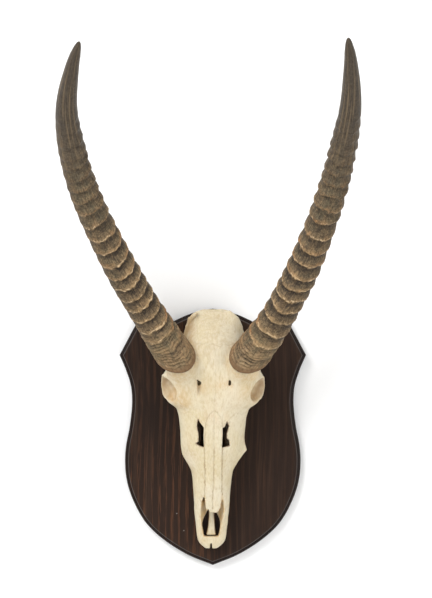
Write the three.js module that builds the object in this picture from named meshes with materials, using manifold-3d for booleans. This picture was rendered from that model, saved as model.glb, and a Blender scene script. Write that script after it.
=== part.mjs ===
// Antelope skull with its two ringed horns, fixed face forward to a wooden shield.
// Millimetres, +Z up. The shield's back lies in the plane y = 0 and the head faces -Y,
// so "out" below always means the distance in front of the wall: y = -out.

import * as THREE from 'three';
import { mergeVertices } from 'three/addons/utils/BufferGeometryUtils.js';
import Module from 'manifold-3d';

const wasm = await Module();
wasm.setup();

// ---------------------------------------------------------------- driving sizes

const gap = 0.3; // air between pieces that touch

const board = {
  thickness: 20,
  // right half of the outline, x and height from the centre
  archPoints: [[0, 200], [20, 196.6], [42, 189.3], [60, 181]],
  scoop: [[76, 173.5], [98, 170], [117, 181.5]], // hollow between the arch and the shoulder corner
  side: [
    [145.5, 127.6], [135.4, 104], [127.8, 79], [126, 54], [129.6, 17], [135.4, -14],
    [137, -38], [134.6, -66], [126, -95], [106, -132], [81, -157], [41, -183], [0, -200],
  ],
  // routed edge, as [distance in from the rim, height above the back]
  edge: [[0, 0], [0, 11.5], [1.6, 14.6], [5.2, 16.2], [5.6, 18.9], [7, 20]], // the last is the face
};

const hanger = {
  height: 150, // centre of the plate above the shield's centre
  width: 22,
  length: 52,
  sheet: 1.6,
  rebate: 2.2, // how deep the plate is let into the back
  pocketWidth: 13,
  pocketLength: 34,
  pocketDepth: 9,
  keyRadius: 4.2,
  slotRadius: 2.2,
  slotLength: 11,
  screwSpacing: 42,
  screwRadius: 1.3,
  screwHead: 2.9,
  screwLength: 12,
};

const screws = {
  spots: [[-24, 158], [24, 158], [0, 104]],
  shankRadius: 2,
  headRadius: 4.4,
  headDepth: 3.4,
  length: 52,
  sunk: 0.6, // head below the board's back face
};

// The head leans a little to one side of the shield's centre line.
const headLean = THREE.MathUtils.degToRad(0.6);
const headPivot = { x: 1.6, z: 50 };

// Cross-sections of the face, from the forehead down to the muzzle.
// height, half width, front, back, depth of the widest line, squareness front and back
const faceSections = [
  [176, 22, 96, 82, 90, 2.2, 2.0],
  [160, 36, 109, 82, 96, 2.2, 2.0],
  [145, 46, 117, 78, 96, 2.4, 2.0],
  [130, 54, 121, 70, 92, 2.5, 2.0],
  [116, 63, 122.5, 62, 86, 2.7, 2.0],
  [107, 71, 122.5, 58, 78, 2.9, 2.0],
  [98, 77, 121.5, 54, 72, 3.0, 2.0],
  [82, 78, 119, 50, 68, 3.0, 2.0],
  [68, 75.5, 116, 48, 66, 2.8, 2.0],
  [57, 68.5, 113.5, 48, 66, 2.6, 2.0],
  [48, 55.5, 111, 48, 66, 2.4, 2.2],
  [34, 51.5, 108, 48, 65, 2.2, 2.4],
  [12, 49.4, 102.5, 48, 62, 2.1, 2.5],
  [-12, 48.4, 96.5, 48, 58, 2.0, 2.6],
  [-24, 46.2, 93, 48, 55, 1.9, 2.6],
  [-35, 39.5, 89.5, 48, 54, 2.0, 2.6],
  [-49, 31.2, 85, 47, 55, 2.1, 2.5],
  [-80, 28.4, 76, 43, 51, 2.2, 2.5],
  [-110, 26.8, 65, 36, 44, 2.3, 2.5],
  [-138, 24, 52.5, 30, 37, 2.4, 2.5],
  [-155, 20.8, 46, 28, 34, 2.5, 2.5],
  [-165, 14.4, 42, 28, 33, 2.4, 2.4],
  [-171, 5, 38, 30, 33, 2.2, 2.2],
];

// Cross-sections of the braincase, in the same order, from the nape down.
const craniumSections = [
  [199, 13, 74, 44, 60, 2.2, 2.2],
  [196.5, 28, 79, 32, 56, 2.4, 2.2],
  [189, 36.5, 87, 20, 54, 2.2, 2.3],
  [174, 40, 100, 12, 56, 2.1, 2.5],
  [156, 43.5, 112, 12, 60, 2.2, 2.5],
  [138, 41, 118, 12, 62, 2.2, 2.5],
  [118, 37, 117, 14, 64, 2.2, 2.4],
  [98, 33, 111, 16, 64, 2.2, 2.2],
  [80, 24, 96, 26, 62, 2.2, 2.0],
  [58, 17, 88, 40, 62, 2.2, 2.0],
];

const orbit = {
  centre: [84, 89, 77], // x, out, height of the middle of the eye socket
  halfSizes: [36, 20.5, 23],
  turn: THREE.MathUtils.degToRad(15), // how far the socket looks forward
};

const horn = {
  sides: 12,
  // distance from the tip and radius there
  radii: [
    [0, 2.2], [12, 5.2], [28, 7.8], [82, 12.8], [134, 16.2], [183, 20], [254, 22], [344, 23.6],
    [400, 25.2], [473, 25.2], [520, 27.4], [568, 29],
  ],
  smoothRows: [1, 12, 28, 50, 76, 104, 130],
  firstRise: 18, // length over which the first ring swells
  crownShare: 0.55, // where between two rings the surface has risen half way
  ringHeight: 2.9,
  ringLip: 5.4, // the drop behind each ring takes this much length
  // rings sag towards the base in front, as a share of the radius: near the tip, then further down
  tipDip: 0.3,
  ringDip: 0.62,
  dipFrom: 265,
  dipTo: 345,
  baseDip: 0.85,
  baseDipStart: 500,
  baseLift: 0.2, // the rim rises towards the tip on the outer side
  baseRow: 12, // last row before the rim
  plainLength: 40, // rings lie square to the horn nearer the tip than this
  slopeLength: 160,
};

// Centre lines from tip to base: x, out, height.
const leftHorn = {
  side: -1,
  line: [
    [-183.9, 355, 571], [-196.9, 316.5, 538.5], [-208.5, 265, 485.6], [-203.2, 223, 429.6],
    [-188.1, 190.5, 372.8], [-164.8, 165.4, 317.3], [-137.3, 147, 262.2], [-106.1, 133.5, 208.1],
    [-81.6, 126.5, 168.9], [-55.2, 120, 129],
  ],
  rings: [
    153, 174, 195, 210, 229, 249, 265, 284, 305, 326, 347, 369, 388.5, 409.5, 426.5, 445.5, 464.5,
    484, 501, 518,
  ],
  lift: -0.08, // how far the rings rise on the outer side, as a share of the radius
};

const rightHorn = {
  side: 1,
  line: [
    [187.7, 355, 576.2], [194, 316.5, 542.7], [197.1, 265, 489.1], [189.3, 223, 433.2],
    [176.1, 190.5, 375.9], [157.5, 165.4, 318.3], [134.8, 147, 260.7], [107.2, 133.5, 205.3],
    [86, 126.8, 170.4], [54.3, 120, 128.2],
  ],
  rings: [
    154, 172, 189, 207, 226, 243, 261.5, 282.5, 302.5, 325, 348.5, 370.5, 391.5, 410, 429, 448,
    467, 488, 509, 526,
  ],
  lift: 0.05,
};

const cheekKnobs = [ // small bumps on the cheek bones, not quite level
  { centre: [-41, 66, -22], halfSizes: [6, 9, 9] },
  { centre: [46.5, 66, -14], halfSizes: [6.5, 9, 9] },
];

const pedicle = { // bony stump that carries the horn
  radii: [22.5, 26.5, 18.5],
  rise: 16, // how far the bony stump stands up inside the horn's base
  root: [30, 92, 96], // where it grows out of the forehead: x, out, height
};

// Openings in the face and the palate, as x and height.
const nasalOpening = [ // round the tips of the two nasal bones, then round the front bones
  [-11.4, -85], [-9.6, -92], [-7, -103.7], [-5.6, -110.3], [-1.8, -106], [2.4, -112], [7.9, -112.2],
  [13.4, -111.2], [13.4, -100.6], [15.2, -91], [15.9, -85.5], [19, -97], [19.9, -108.3],
  [17.5, -123.6], [14.3, -136], [11.2, -150.5], [-11.4, -150.5], [-15, -136], [-16.8, -123.6],
  [-17.5, -108.3], [-15.6, -97],
];

const leftPalateSlot = [
  [-5.3, -109.5], [-10.7, -122.3], [-14.3, -131.2], [-13.8, -137.6], [-11.5, -146.5], [-9.3, -150.2],
  [-6.7, -150.2], [-5.1, -131], [-4.2, -111],
];

const rightPalateSlot = [
  [4.1, -111.5], [4.7, -133], [7.1, -149.9], [11.2, -149.9], [13.4, -142], [14.6, -133.2],
  [12.2, -122.3], [8.9, -112],
];

const palateSlit = [[-8.6, -151.6], [8.6, -151.4], [8.6, -149.7], [-8.6, -150]]; // joins the slots

const muzzleSplit = [[-2, -175], [1.2, -175], [0.3, -161.5], [-1.1, -161.5]];

const leftFaceHole = [
  [-21.5, 32.8], [-19.5, 28.3], [-13.2, 20], [-13.8, 8], [-12.4, -10], [-18.5, -8.4],
  [-24.2, -4.4], [-20.6, -1.6], [-20.4, 9], [-23.4, 22.9],
];

const rightFaceHole = [
  [21.8, 29.4], [24.6, 23], [21.8, 12], [21.3, 3.5], [24.6, 1.2], [26, -7.3], [14.8, -10.4],
  [15.6, 8.2], [15.2, 19.8], [18.6, 21.6],
];

// Air passage from the nostrils to the back of the palate.
const passage = {
  line: [
    [1, 49, -136], [1.5, 51, -105], [1.5, 60, -60], [1, 70, -10], [0, 73, 30], [0, 60, 62],
    [0, 34, 80], [0, 10, 92],
  ],
  radii: [8.5, 9.5, 12, 17, 18, 14, 11, 11],
};

// Cheek arch from the lower rim of the eye socket up to the temple, right side.
const cheekBone = {
  line: [[54, 70, 62], [69, 58, 84], [66, 52, 110], [54, 52, 134], [38, 52, 148]],
  radii: [9, 9, 7, 8, 10],
  flatten: 0.65,
};

const condyle = { centre: [13, 29, 187], halfSizes: [8.5, 10, 8] }; // where the neck joined
const earCapsule = { centre: [28, 30, 128], halfSizes: [9, 12, 14] };
const napeHole = { line: [[0, 41, 205], [0, 43, 188], [0, 50, 172]], radii: [10, 9, 7] };

// Raised edges round the back of the braincase, not quite alike.
const napeCrests = [
  [[-26, 84, 193], [-36, 80, 184], [-39.5, 76, 173], [-43, 74, 160]],
  [[28, 84, 193], [37, 80, 185], [44, 76, 172], [46.5, 74, 163], [42, 78, 152]],
];
const napeCrestRadius = 3;

const browHoles = { // small holes for vessels above the eyes
  x: [-20.5, 25],
  mouth: [127, 86], // out, height
  end: [106, 92],
  radii: [3.4, 2.2],
};

const depths = { // nearest and furthest distance from the wall that each opening cuts through
  nasal: [41, 110],
  face: [72, 130],
  palate: [10, 60],
};

const toothRow = {
  innerStart: 21.5, // x of the first premolar
  innerEnd: 31, // x of the last molar
  start: -50,
  lengths: [9.5, 11.5, 12.5, 15.5, 18, 18.5], // three premolars, three molars
  widths: [8, 10, 12, 14.5, 15, 14],
  gum: 37, // out: where the crowns leave the bone
  bite: 21, // out: the chewing surfaces, just clear of the board
  space: 0.5,
  root: 56, // out: where the ridge that carries the teeth joins the face
  ridgeHalf: [5.5, 9], // half width of that ridge at its two ends
  ridgeRun: [12, 2], // how far it runs on past the teeth, and where it reaches full height
  ridgeFade: [4, 6], // how much lower it is at its two ends
  ridgeRound: 2,
};

// ---------------------------------------------------------------- colours

const bone = { color: 0xe9dfc2, roughness: 0.62, metalness: 0 };
const enamel = { color: 0xd9cba6, roughness: 0.35, metalness: 0 };
const hornBrown = { color: 0x6f5a41, roughness: 0.6, metalness: 0 };
const stainedWood = { color: 0x2f211b, roughness: 0.35, metalness: 0 };
const zinc = { color: 0xa9a79e, roughness: 0.4, metalness: 0.9 };

// ---------------------------------------------------------------- helpers

function at(x, out, z) {
  return new THREE.Vector3(x, -out, z);
}

// A closed geometry as a solid that can be joined and cut.
function solidOf(geometry) {
  const bare = geometry.clone();
  bare.deleteAttribute('normal');
  bare.deleteAttribute('uv');
  const merged = mergeVertices(bare, 1e-4);
  const vertProperties = new Float32Array(merged.attributes.position.array);
  const triVerts = new Uint32Array(merged.index.array);
  return new wasm.Manifold(new wasm.Mesh({ numProp: 3, vertProperties, triVerts }));
}

function geometryOf(solid) {
  const { vertProperties, triVerts } = solid.getMesh();
  const geometry = new THREE.BufferGeometry();
  geometry.setAttribute('position', new THREE.BufferAttribute(vertProperties, 3));
  geometry.setIndex(new THREE.BufferAttribute(triVerts, 1));
  geometry.computeVertexNormals();
  return geometry;
}

function join(solids) {
  return solids.reduce((whole, piece) => whole.add(piece));
}

function cut(solid, cutters) {
  return cutters.reduce((rest, cutter) => rest.subtract(cutter), solid);
}

function volumeOf(points, faces) {
  const cross = new THREE.Vector3();
  let sum = 0;
  for (let i = 0; i < faces.length; i += 3) {
    const [a, b, c] = [points[faces[i]], points[faces[i + 1]], points[faces[i + 2]]];
    sum += cross.crossVectors(b, c).dot(a);
  }
  return sum / 6;
}

// Skin over a row of closed loops that all have the same number of points, with both ends shut.
function closedSkin(loops) {
  const sides = loops[0].length;
  const points = loops.flat();
  const faces = [];
  for (let row = 0; row + 1 < loops.length; row += 1) {
    for (let i = 0; i < sides; i += 1) {
      const a = row * sides + i;
      const b = row * sides + ((i + 1) % sides);
      faces.push(a, b, b + sides, a, b + sides, a + sides);
    }
  }
  const ends = [[0, 1], [(loops.length - 1) * sides, -1]];
  for (const [first, facing] of ends) {
    const middle = new THREE.Vector3();
    for (let i = 0; i < sides; i += 1) middle.addScaledVector(points[first + i], 1 / sides);
    const hub = points.push(middle) - 1;
    for (let i = 0; i < sides; i += 1) {
      const a = first + i;
      const b = first + ((i + 1) % sides);
      if (facing > 0) faces.push(hub, b, a);
      else faces.push(hub, a, b);
    }
  }
  if (volumeOf(points, faces) < 0) faces.reverse();
  const geometry = new THREE.BufferGeometry();
  geometry.setFromPoints(points);
  geometry.setIndex(faces);
  return geometry;
}

// A round bar through the given points, with a radius at each of them.
function taperedBar(points, radii, sides = 10, steps = 3, flatten = 1) {
  const curve = new THREE.CatmullRomCurve3(points);
  const count = (points.length - 1) * steps;
  const frames = curve.computeFrenetFrames(count, false);
  const loops = [];
  for (let i = 0; i <= count; i += 1) {
    const t = i / count;
    const place = t * (radii.length - 1);
    const low = Math.min(Math.floor(place), radii.length - 2);
    const radius = THREE.MathUtils.lerp(radii[low], radii[low + 1], place - low);
    const middle = curve.getPoint(t);
    const loop = [];
    for (let k = 0; k < sides; k += 1) {
      const angle = (2 * Math.PI * k) / sides;
      loop.push(middle.clone()
        .addScaledVector(frames.normals[i], radius * Math.cos(angle))
        .addScaledVector(frames.binormals[i], radius * flatten * Math.sin(angle)));
    }
    loops.push(loop);
  }
  return closedSkin(loops);
}

function ellipsoid(centre, halfSizes, turn = 0, sides = 14, rows = 9) {
  const geometry = new THREE.SphereGeometry(1, sides, rows);
  geometry.scale(halfSizes[0], halfSizes[1], halfSizes[2]);
  geometry.rotateZ(turn);
  geometry.translate(centre[0], -centre[1], centre[2]);
  return geometry;
}

// A prism with an outline in x and height, from one distance in front of the wall to another.
function prism(outline, outNear, outFar) {
  const shape = new THREE.Shape(outline.map(([x, z]) => new THREE.Vector2(x, z)));
  const depth = outFar - outNear;
  const geometry = new THREE.ExtrudeGeometry(shape, { depth, bevelEnabled: false });
  geometry.rotateX(Math.PI / 2);
  geometry.translate(0, -outNear, 0);
  return geometry;
}

function box(width, out, height, centre) {
  const geometry = new THREE.BoxGeometry(width, out, height);
  geometry.translate(centre[0], -centre[1], centre[2]);
  return geometry;
}

// A turned shape whose axis points straight out of the wall; profile holds [radius, out].
function turned(profile, x, z, sides = 12) {
  const geometry = new THREE.LatheGeometry(profile.map(([r, o]) => new THREE.Vector2(r, o)), sides);
  geometry.rotateX(Math.PI);
  geometry.translate(x, 0, z);
  return geometry;
}

function piece(name, geometry, look) {
  const mesh = new THREE.Mesh(geometry, new THREE.MeshStandardMaterial(look));
  mesh.name = name;
  return mesh;
}

// ---------------------------------------------------------------- shield

function shieldOutline() {
  const vectors = (list) => list.map(([x, z]) => new THREE.Vector2(x, z));
  const arch = new THREE.SplineCurve(vectors(board.archPoints)).getSpacedPoints(6);
  const [c1, c2, corner] = vectors(board.scoop);
  const scoop = new THREE.CubicBezierCurve(arch[arch.length - 1], c1, c2, corner).getPoints(5);
  const side = new THREE.SplineCurve(vectors(board.side)).getSpacedPoints(26);
  const right = [...arch, ...scoop.slice(1), ...side];
  const left = right.slice(1, -1).reverse().map((p) => new THREE.Vector2(-p.x, p.y));
  return [...right, ...left];
}

// Moves every point of a clockwise outline inwards by the same distance.
function insetOutline(outline, distance) {
  const count = outline.length;
  return outline.map((point, i) => {
    const before = outline[(i + count - 1) % count];
    const after = outline[(i + 1) % count];
    const a = point.clone().sub(before).normalize();
    const b = after.clone().sub(point).normalize();
    const inwards = new THREE.Vector2(a.y + b.y, -a.x - b.x);
    return point.clone().addScaledVector(inwards, distance / (1 + a.dot(b)));
  });
}

function screwHole(x, z) {
  const { shankRadius, headRadius, headDepth, sunk } = screws;
  const deep = screws.length + 2;
  const r = shankRadius + gap;
  const rim = headRadius + gap;
  const profile = [
    [0, -1], [rim, -1], [rim, sunk], [r, sunk + headDepth + gap], [r, deep], [0, deep],
  ];
  return turned(profile, x, z, 8);
}

function headSpot([x, z]) {
  const dx = x * Math.cos(headLean) + (z - headPivot.z) * Math.sin(headLean);
  const dz = -x * Math.sin(headLean) + (z - headPivot.z) * Math.cos(headLean);
  return [headPivot.x + dx, headPivot.z + dz];
}

function makeShield() {
  const outline = shieldOutline();
  const loops = board.edge.map(([inset, out]) => (
    insetOutline(outline, inset).map((p) => at(p.x, out, p.y))
  ));
  const { width, length, rebate, height, pocketWidth, pocketLength, pocketDepth } = hanger;
  const cutters = [
    box(width + 2 * gap, 2 * (rebate + gap), length + 2 * gap, [0, 0, height]),
    box(pocketWidth, 2 * pocketDepth, pocketLength, [0, 0, height]),
    ...hangerScrewSpots().map(hangerScrewHole),
    ...screws.spots.map((spot) => screwHole(...headSpot(spot))),
  ];
  return cut(solidOf(closedSkin(loops)), cutters.map(solidOf));
}

// ---------------------------------------------------------------- hanger and screws

function hangerScrewSpots() {
  return [1, -1].map((end) => [0, hanger.height + (end * hanger.screwSpacing) / 2]);
}

function hangerScrewHole([x, z]) {
  const r = hanger.screwRadius + gap;
  const deep = hanger.screwLength + 2;
  return turned([[0, -1], [r, -1], [r, deep], [0, deep]], x, z, 8);
}

// Steel plate let into the back, with a keyhole for the wall screw.
function makeHangerPlate() {
  const { width, length, sheet, rebate, height, keyRadius, slotRadius, slotLength, screwRadius } = hanger;
  const half = { x: width / 2, z: length / 2 };
  const shape = new THREE.Shape();
  shape.moveTo(-half.x, -half.z).lineTo(half.x, -half.z).lineTo(half.x, half.z).lineTo(-half.x, half.z);
  const key = new THREE.Path();
  const meet = Math.asin(slotRadius / keyRadius);
  const low = -slotLength / 2;
  key.absarc(0, low, keyRadius, Math.PI / 2 - meet, Math.PI / 2 + meet, true);
  key.absarc(0, low + slotLength, slotRadius, Math.PI, 0, true);
  key.closePath();
  shape.holes.push(key);
  for (const [, z] of hangerScrewSpots()) {
    const hole = new THREE.Path().absarc(0, z - height, screwRadius + 2 * gap, 0, 2 * Math.PI, true);
    shape.holes.push(hole);
  }
  const plate = new THREE.ExtrudeGeometry(shape, { depth: sheet, bevelEnabled: false, curveSegments: 5 });
  plate.rotateX(Math.PI / 2);
  plate.translate(0, sheet - rebate, height);
  return solidOf(plate);
}

function makeHangerScrew([x, z]) {
  const { rebate, sheet, screwRadius: r, screwHead: rim, screwLength: length } = hanger;
  const seat = rebate - sheet - 0.05;
  const profile = [[0, 0.1], [0.8 * rim, 0.15], [rim, seat - 0.1], [r, seat], [r, length], [0, length + 1]];
  return solidOf(turned(profile, x, z, 8));
}

function makeSkullScrew([x, z]) {
  const { shankRadius, headRadius, headDepth, sunk, length } = screws;
  const profile = [
    [0, sunk], [headRadius, sunk + 0.1], [shankRadius, sunk + headDepth], [shankRadius, length - 6],
    [0, length],
  ];
  return solidOf(turned(profile, x, z, 8));
}

// ---------------------------------------------------------------- skull

// One cross-section: a superellipse whose front and back halves differ.
function sectionLoop([z, halfWidth, front, back, widest, squareFront, squareBack], grow, sides) {
  const loop = [];
  for (let i = 0; i < sides; i += 1) {
    const angle = (2 * Math.PI * (i + 0.5)) / sides;
    const c = Math.cos(angle);
    const s = Math.sin(angle);
    const power = 2 / (s > 0 ? squareFront : squareBack);
    const reach = s > 0 ? front + grow - widest : widest - back + grow;
    const x = Math.sign(c) * (halfWidth + grow) * Math.abs(c) ** power;
    const out = widest + Math.sign(s) * reach * Math.abs(s) ** power;
    loop.push(at(x, out, z));
  }
  return loop;
}

function loftSections(sections, grow, sides) {
  const loops = sections.map((section, i) => {
    const end = (i === 0) - (i === sections.length - 1);
    const [z, ...rest] = section;
    return sectionLoop([z + end * grow, ...rest], grow, sides);
  });
  return closedSkin(loops);
}

function orbitSocket(side) {
  const { centre, halfSizes, turn } = orbit;
  return ellipsoid([side * centre[0], centre[1], centre[2]], halfSizes, side * turn, 16, 8);
}

function mirrored(points, side) {
  return points.map(([x, out, z]) => at(side * x, out, z));
}

function cheekArch(side, grow) {
  const radii = cheekBone.radii.map((r) => r + grow);
  return taperedBar(mirrored(cheekBone.line, side), radii, 8, 1, cheekBone.flatten);
}

function hornStump(side, grow) {
  const { line } = side < 0 ? leftHorn : rightHorn;
  const base = at(...line[line.length - 1]);
  const above = at(...line[line.length - 2]);
  const axis = above.clone().sub(base).normalize();
  const root = at(side * pedicle.root[0], pedicle.root[1], pedicle.root[2]);
  const top = base.clone().addScaledVector(axis, pedicle.rise);
  const middle = root.clone().lerp(base, 0.6);
  return taperedBar([root, middle, top], pedicle.radii.map((r) => r + grow), 12, 1);
}

// Ridge of jaw bone that carries the cheek teeth on one side.
function toothRidge(side) {
  const { start, lengths, space, innerStart, innerEnd, gum, root } = toothRow;
  const { ridgeHalf, ridgeRun: [run, full], ridgeFade: [lowFade, highFade], ridgeRound: r } = toothRow;
  const total = lengths.reduce((sum, length) => sum + length + space, 0);
  const stops = [[-run, lowFade], [-full, 0], [total / 2, 0], [total + full, 0], [total + run, highFade]];
  const loops = stops.map(([stop, fade]) => {
    const share = THREE.MathUtils.clamp(stop / total, 0, 1);
    const x = side * THREE.MathUtils.lerp(innerStart, innerEnd, share);
    const half = THREE.MathUtils.lerp(...ridgeHalf, share);
    const low = gum + fade;
    const corners = [
      [-half, low + r], [r - half, low], [half - r, low], [half, low + r], [half, root], [-half, root],
    ];
    return corners.map(([dx, out]) => at(x + side * dx, out, start + stop));
  });
  return closedSkin(loops);
}

// Everything that stands out, joined. grow swells it evenly, to cut a neighbour clear of it.
function boneMass(grow = 0) {
  const parts = [
    loftSections(faceSections, grow, 22),
    loftSections(craniumSections, grow, 18),
  ];
  for (const side of [-1, 1]) {
    parts.push(cheekArch(side, grow), hornStump(side, grow));
  }
  return join(parts.map(solidOf));
}

function makeSkull() {
  const flat = board.thickness + gap; // sawn flat where the braincase meets the board
  const added = [];
  for (const side of [-1, 1]) {
    added.push(toothRidge(side));
    for (const { centre: [x, out, z], halfSizes } of [condyle, earCapsule]) {
      added.push(ellipsoid([side * x, out, z], halfSizes, 0, 8, 6));
    }
  }
  for (const { centre, halfSizes } of cheekKnobs) added.push(ellipsoid(centre, halfSizes, 0, 8, 6));
  for (const line of napeCrests) {
    added.push(taperedBar(mirrored(line, 1), line.map(() => napeCrestRadius), 6, 1));
  }
  const whole = join([boneMass(), ...added.map(solidOf)]);

  const cutters = [
    box(200, flat, 400, [0, flat / 2, 50]),
    prism(nasalOpening, ...depths.nasal),
    prism(leftFaceHole, ...depths.face),
    prism(rightFaceHole, ...depths.face),
    ...[leftPalateSlot, rightPalateSlot, palateSlit, muzzleSplit].map((o) => prism(o, ...depths.palate)),
    taperedBar(mirrored(passage.line, 1), passage.radii, 8, 1),
    taperedBar(mirrored(napeHole.line, 1), napeHole.radii, 10, 1),
    orbitSocket(-1),
    orbitSocket(1),
    ...browHoles.x.map((x) => (
      taperedBar([at(x, ...browHoles.mouth), at(x, ...browHoles.end)], browHoles.radii, 6, 1)
    )),
    ...screws.spots.map(([x, z]) => screwHole(x, z)),
  ];
  return cut(whole, cutters.map(solidOf));
}

// A two-lobed crown, narrower at the chewing surface.
function makeTooth(side, index) {
  const { start, lengths, widths, space, innerStart, innerEnd, gum, bite } = toothRow;
  const total = lengths.reduce((sum, length) => sum + length + space, 0);
  const before = lengths.slice(0, index).reduce((sum, length) => sum + length + space, 0);
  const middle = start + before + lengths[index] / 2;
  const x = side * THREE.MathUtils.lerp(innerStart, innerEnd, (middle - start) / total);
  const half = { x: widths[index] / 2, z: lengths[index] / 2 };
  const outline = [[0.7, -1], [1, -0.5], [0.8, 0], [1, 0.5], [0.7, 1], [-0.7, 1], [-0.9, 0], [-0.7, -1]];
  const rows = [[gum - gap, 0.94], [(gum + bite) / 2, 1], [bite, 0.84]];
  return solidOf(closedSkin(rows.map(([out, scale]) => (
    outline.map(([a, b]) => at(x + side * a * half.x * scale, out, middle + b * half.z * Math.sqrt(scale)))
  ))));
}

// ---------------------------------------------------------------- horns

function radiusAt(distance) {
  const { radii } = horn;
  const found = radii.findIndex(([d]) => d >= distance);
  const next = found < 0 ? radii.length - 1 : Math.max(1, found);
  const [[d0, r0], [d1, r1]] = [radii[next - 1], radii[next]];
  return THREE.MathUtils.lerp(r0, r1, Math.min(1, (distance - d0) / (d1 - d0)));
}

// Rows of points down a horn: distance from the tip, and how far the surface is sunk there.
function hornRows(rings, length) {
  const rows = horn.smoothRows.map((distance) => [distance, 0]);
  rings.forEach((ring, i) => {
    const before = i > 0 ? rings[i - 1] + horn.ringLip : ring - horn.firstRise;
    const fade = Math.min(1, 0.45 + i / 6) * (i > rings.length - 3 ? 0.6 : 1); // weak at both ends
    if (i === 0) rows.push([before, 0.4 * fade]);
    rows.push([THREE.MathUtils.lerp(before, ring, horn.crownShare), 0.75 * fade]);
    rows.push([ring, -0.15 * fade]);
    rows.push([ring + horn.ringLip, fade]);
  });
  rows.push([length - horn.baseRow, 0.2], [length, 0.25]);
  return rows.filter(([distance], i) => i === 0 || distance > rows[i - 1][0]);
}

function makeHorn({ side, line, rings, lift: ringLift }, bone) {
  const curve = new THREE.CatmullRomCurve3(line.map((p) => at(...p)), false, 'centripetal');
  curve.arcLengthDivisions = 400;
  const length = curve.getLength();
  const loops = hornRows(rings, length).map(([distance, sunk]) => {
    const share = Math.min(distance / length, 1);
    const middle = curve.getPointAt(share);
    const tangent = curve.getTangentAt(share);
    const front = new THREE.Vector3(0, -1, 0);
    front.addScaledVector(tangent, -front.dot(tangent)).normalize();
    const outer = new THREE.Vector3().crossVectors(tangent, front).multiplyScalar(side);
    if (outer.x * side < 0) outer.negate();
    const radius = radiusAt(distance) - sunk * horn.ringHeight;
    const baseShare = THREE.MathUtils.smoothstep(distance, horn.baseDipStart, length);
    const ringShare = THREE.MathUtils.smoothstep(distance, horn.plainLength, horn.slopeLength);
    const dipShare = THREE.MathUtils.smoothstep(distance, horn.dipFrom, horn.dipTo);
    const ringDip = THREE.MathUtils.lerp(horn.tipDip, horn.ringDip, dipShare);
    const dip = THREE.MathUtils.lerp(ringDip * ringShare, horn.baseDip, baseShare);
    const lift = THREE.MathUtils.lerp(ringLift * ringShare, horn.baseLift, baseShare);
    const loop = [];
    for (let i = 0; i < horn.sides; i += 1) {
      const angle = (2 * Math.PI * i) / horn.sides;
      const f = Math.cos(angle);
      const o = Math.sin(angle);
      loop.push(middle.clone()
        .addScaledVector(front, radius * f)
        .addScaledVector(outer, radius * o)
        .addScaledVector(tangent, radius * (dip * f - lift * o)));
    }
    return loop;
  });
  return solidOf(closedSkin(loops)).subtract(bone);
}

// ---------------------------------------------------------------- the whole trophy

function turnHead(object) {
  object.rotation.y = headLean;
  object.position.set(
    headPivot.x - headPivot.z * Math.sin(headLean),
    0,
    headPivot.z - headPivot.z * Math.cos(headLean),
  );
  object.updateMatrixWorld(true);
  return object;
}

const trophy = new THREE.Group();
trophy.add(piece('shield_board', geometryOf(makeShield()), stainedWood));
trophy.add(piece('hanger_plate', geometryOf(makeHangerPlate()), zinc));
hangerScrewSpots().forEach((spot, i) => {
  trophy.add(piece(`hanger_screw_${i + 1}`, geometryOf(makeHangerScrew(spot)), zinc));
});

const head = turnHead(new THREE.Group());
head.add(piece('skull', geometryOf(makeSkull()), bone));
for (const [name, side] of [['left', -1], ['right', 1]]) {
  toothRow.lengths.forEach((_, i) => {
    head.add(piece(`${name}_tooth_${i + 1}`, geometryOf(makeTooth(side, i)), enamel));
  });
}
screws.spots.forEach((spot, i) => {
  head.add(piece(`skull_screw_${i + 1}`, geometryOf(makeSkullScrew(spot)), zinc));
});
trophy.add(head);

const clearance = boneMass(gap).transform(head.matrixWorld.elements);
trophy.add(piece('left_horn', geometryOf(makeHorn(leftHorn, clearance)), hornBrown));
trophy.add(piece('right_horn', geometryOf(makeHorn(rightHorn, clearance)), hornBrown));

export default trophy;
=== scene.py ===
import math

import bmesh
import bpy
import numpy as np
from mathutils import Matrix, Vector


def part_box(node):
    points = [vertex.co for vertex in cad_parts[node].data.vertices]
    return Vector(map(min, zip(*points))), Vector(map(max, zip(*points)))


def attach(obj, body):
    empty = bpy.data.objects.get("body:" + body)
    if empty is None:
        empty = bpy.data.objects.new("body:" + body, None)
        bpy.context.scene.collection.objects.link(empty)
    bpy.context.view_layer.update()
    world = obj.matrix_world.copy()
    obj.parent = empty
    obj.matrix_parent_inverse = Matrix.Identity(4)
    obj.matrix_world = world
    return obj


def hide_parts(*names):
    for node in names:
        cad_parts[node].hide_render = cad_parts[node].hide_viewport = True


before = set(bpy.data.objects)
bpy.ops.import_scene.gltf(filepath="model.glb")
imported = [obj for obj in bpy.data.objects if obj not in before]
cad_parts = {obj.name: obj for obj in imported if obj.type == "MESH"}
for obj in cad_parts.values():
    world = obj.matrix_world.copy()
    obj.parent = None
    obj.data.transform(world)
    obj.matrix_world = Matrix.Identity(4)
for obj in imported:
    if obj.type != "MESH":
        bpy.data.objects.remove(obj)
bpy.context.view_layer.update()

# An antelope's skull and horns on a wooden shield. Sizes below are in millimetres, x to the right,
# "out" is the distance in front of the wall and z is up; mm turns them into scene units.
mm = 0.001


# Tools shared by every piece

def toScene(x, out, z):
    return np.stack(np.broadcast_arrays(x, -np.asarray(out, float), z), -1) * mm


def meshPiece(name, points, faces, material=None, smooth=True):
    mesh = bpy.data.meshes.new(name)
    mesh.from_pydata(np.asarray(points).tolist(), [], [list(map(int, f)) for f in faces])
    mesh.validate()
    if smooth:
        mesh.shade_smooth()
    piece = bpy.data.objects.new(name, mesh)
    bpy.context.scene.collection.objects.link(piece)
    if material:
        mesh.materials.append(material)
    return piece


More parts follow.
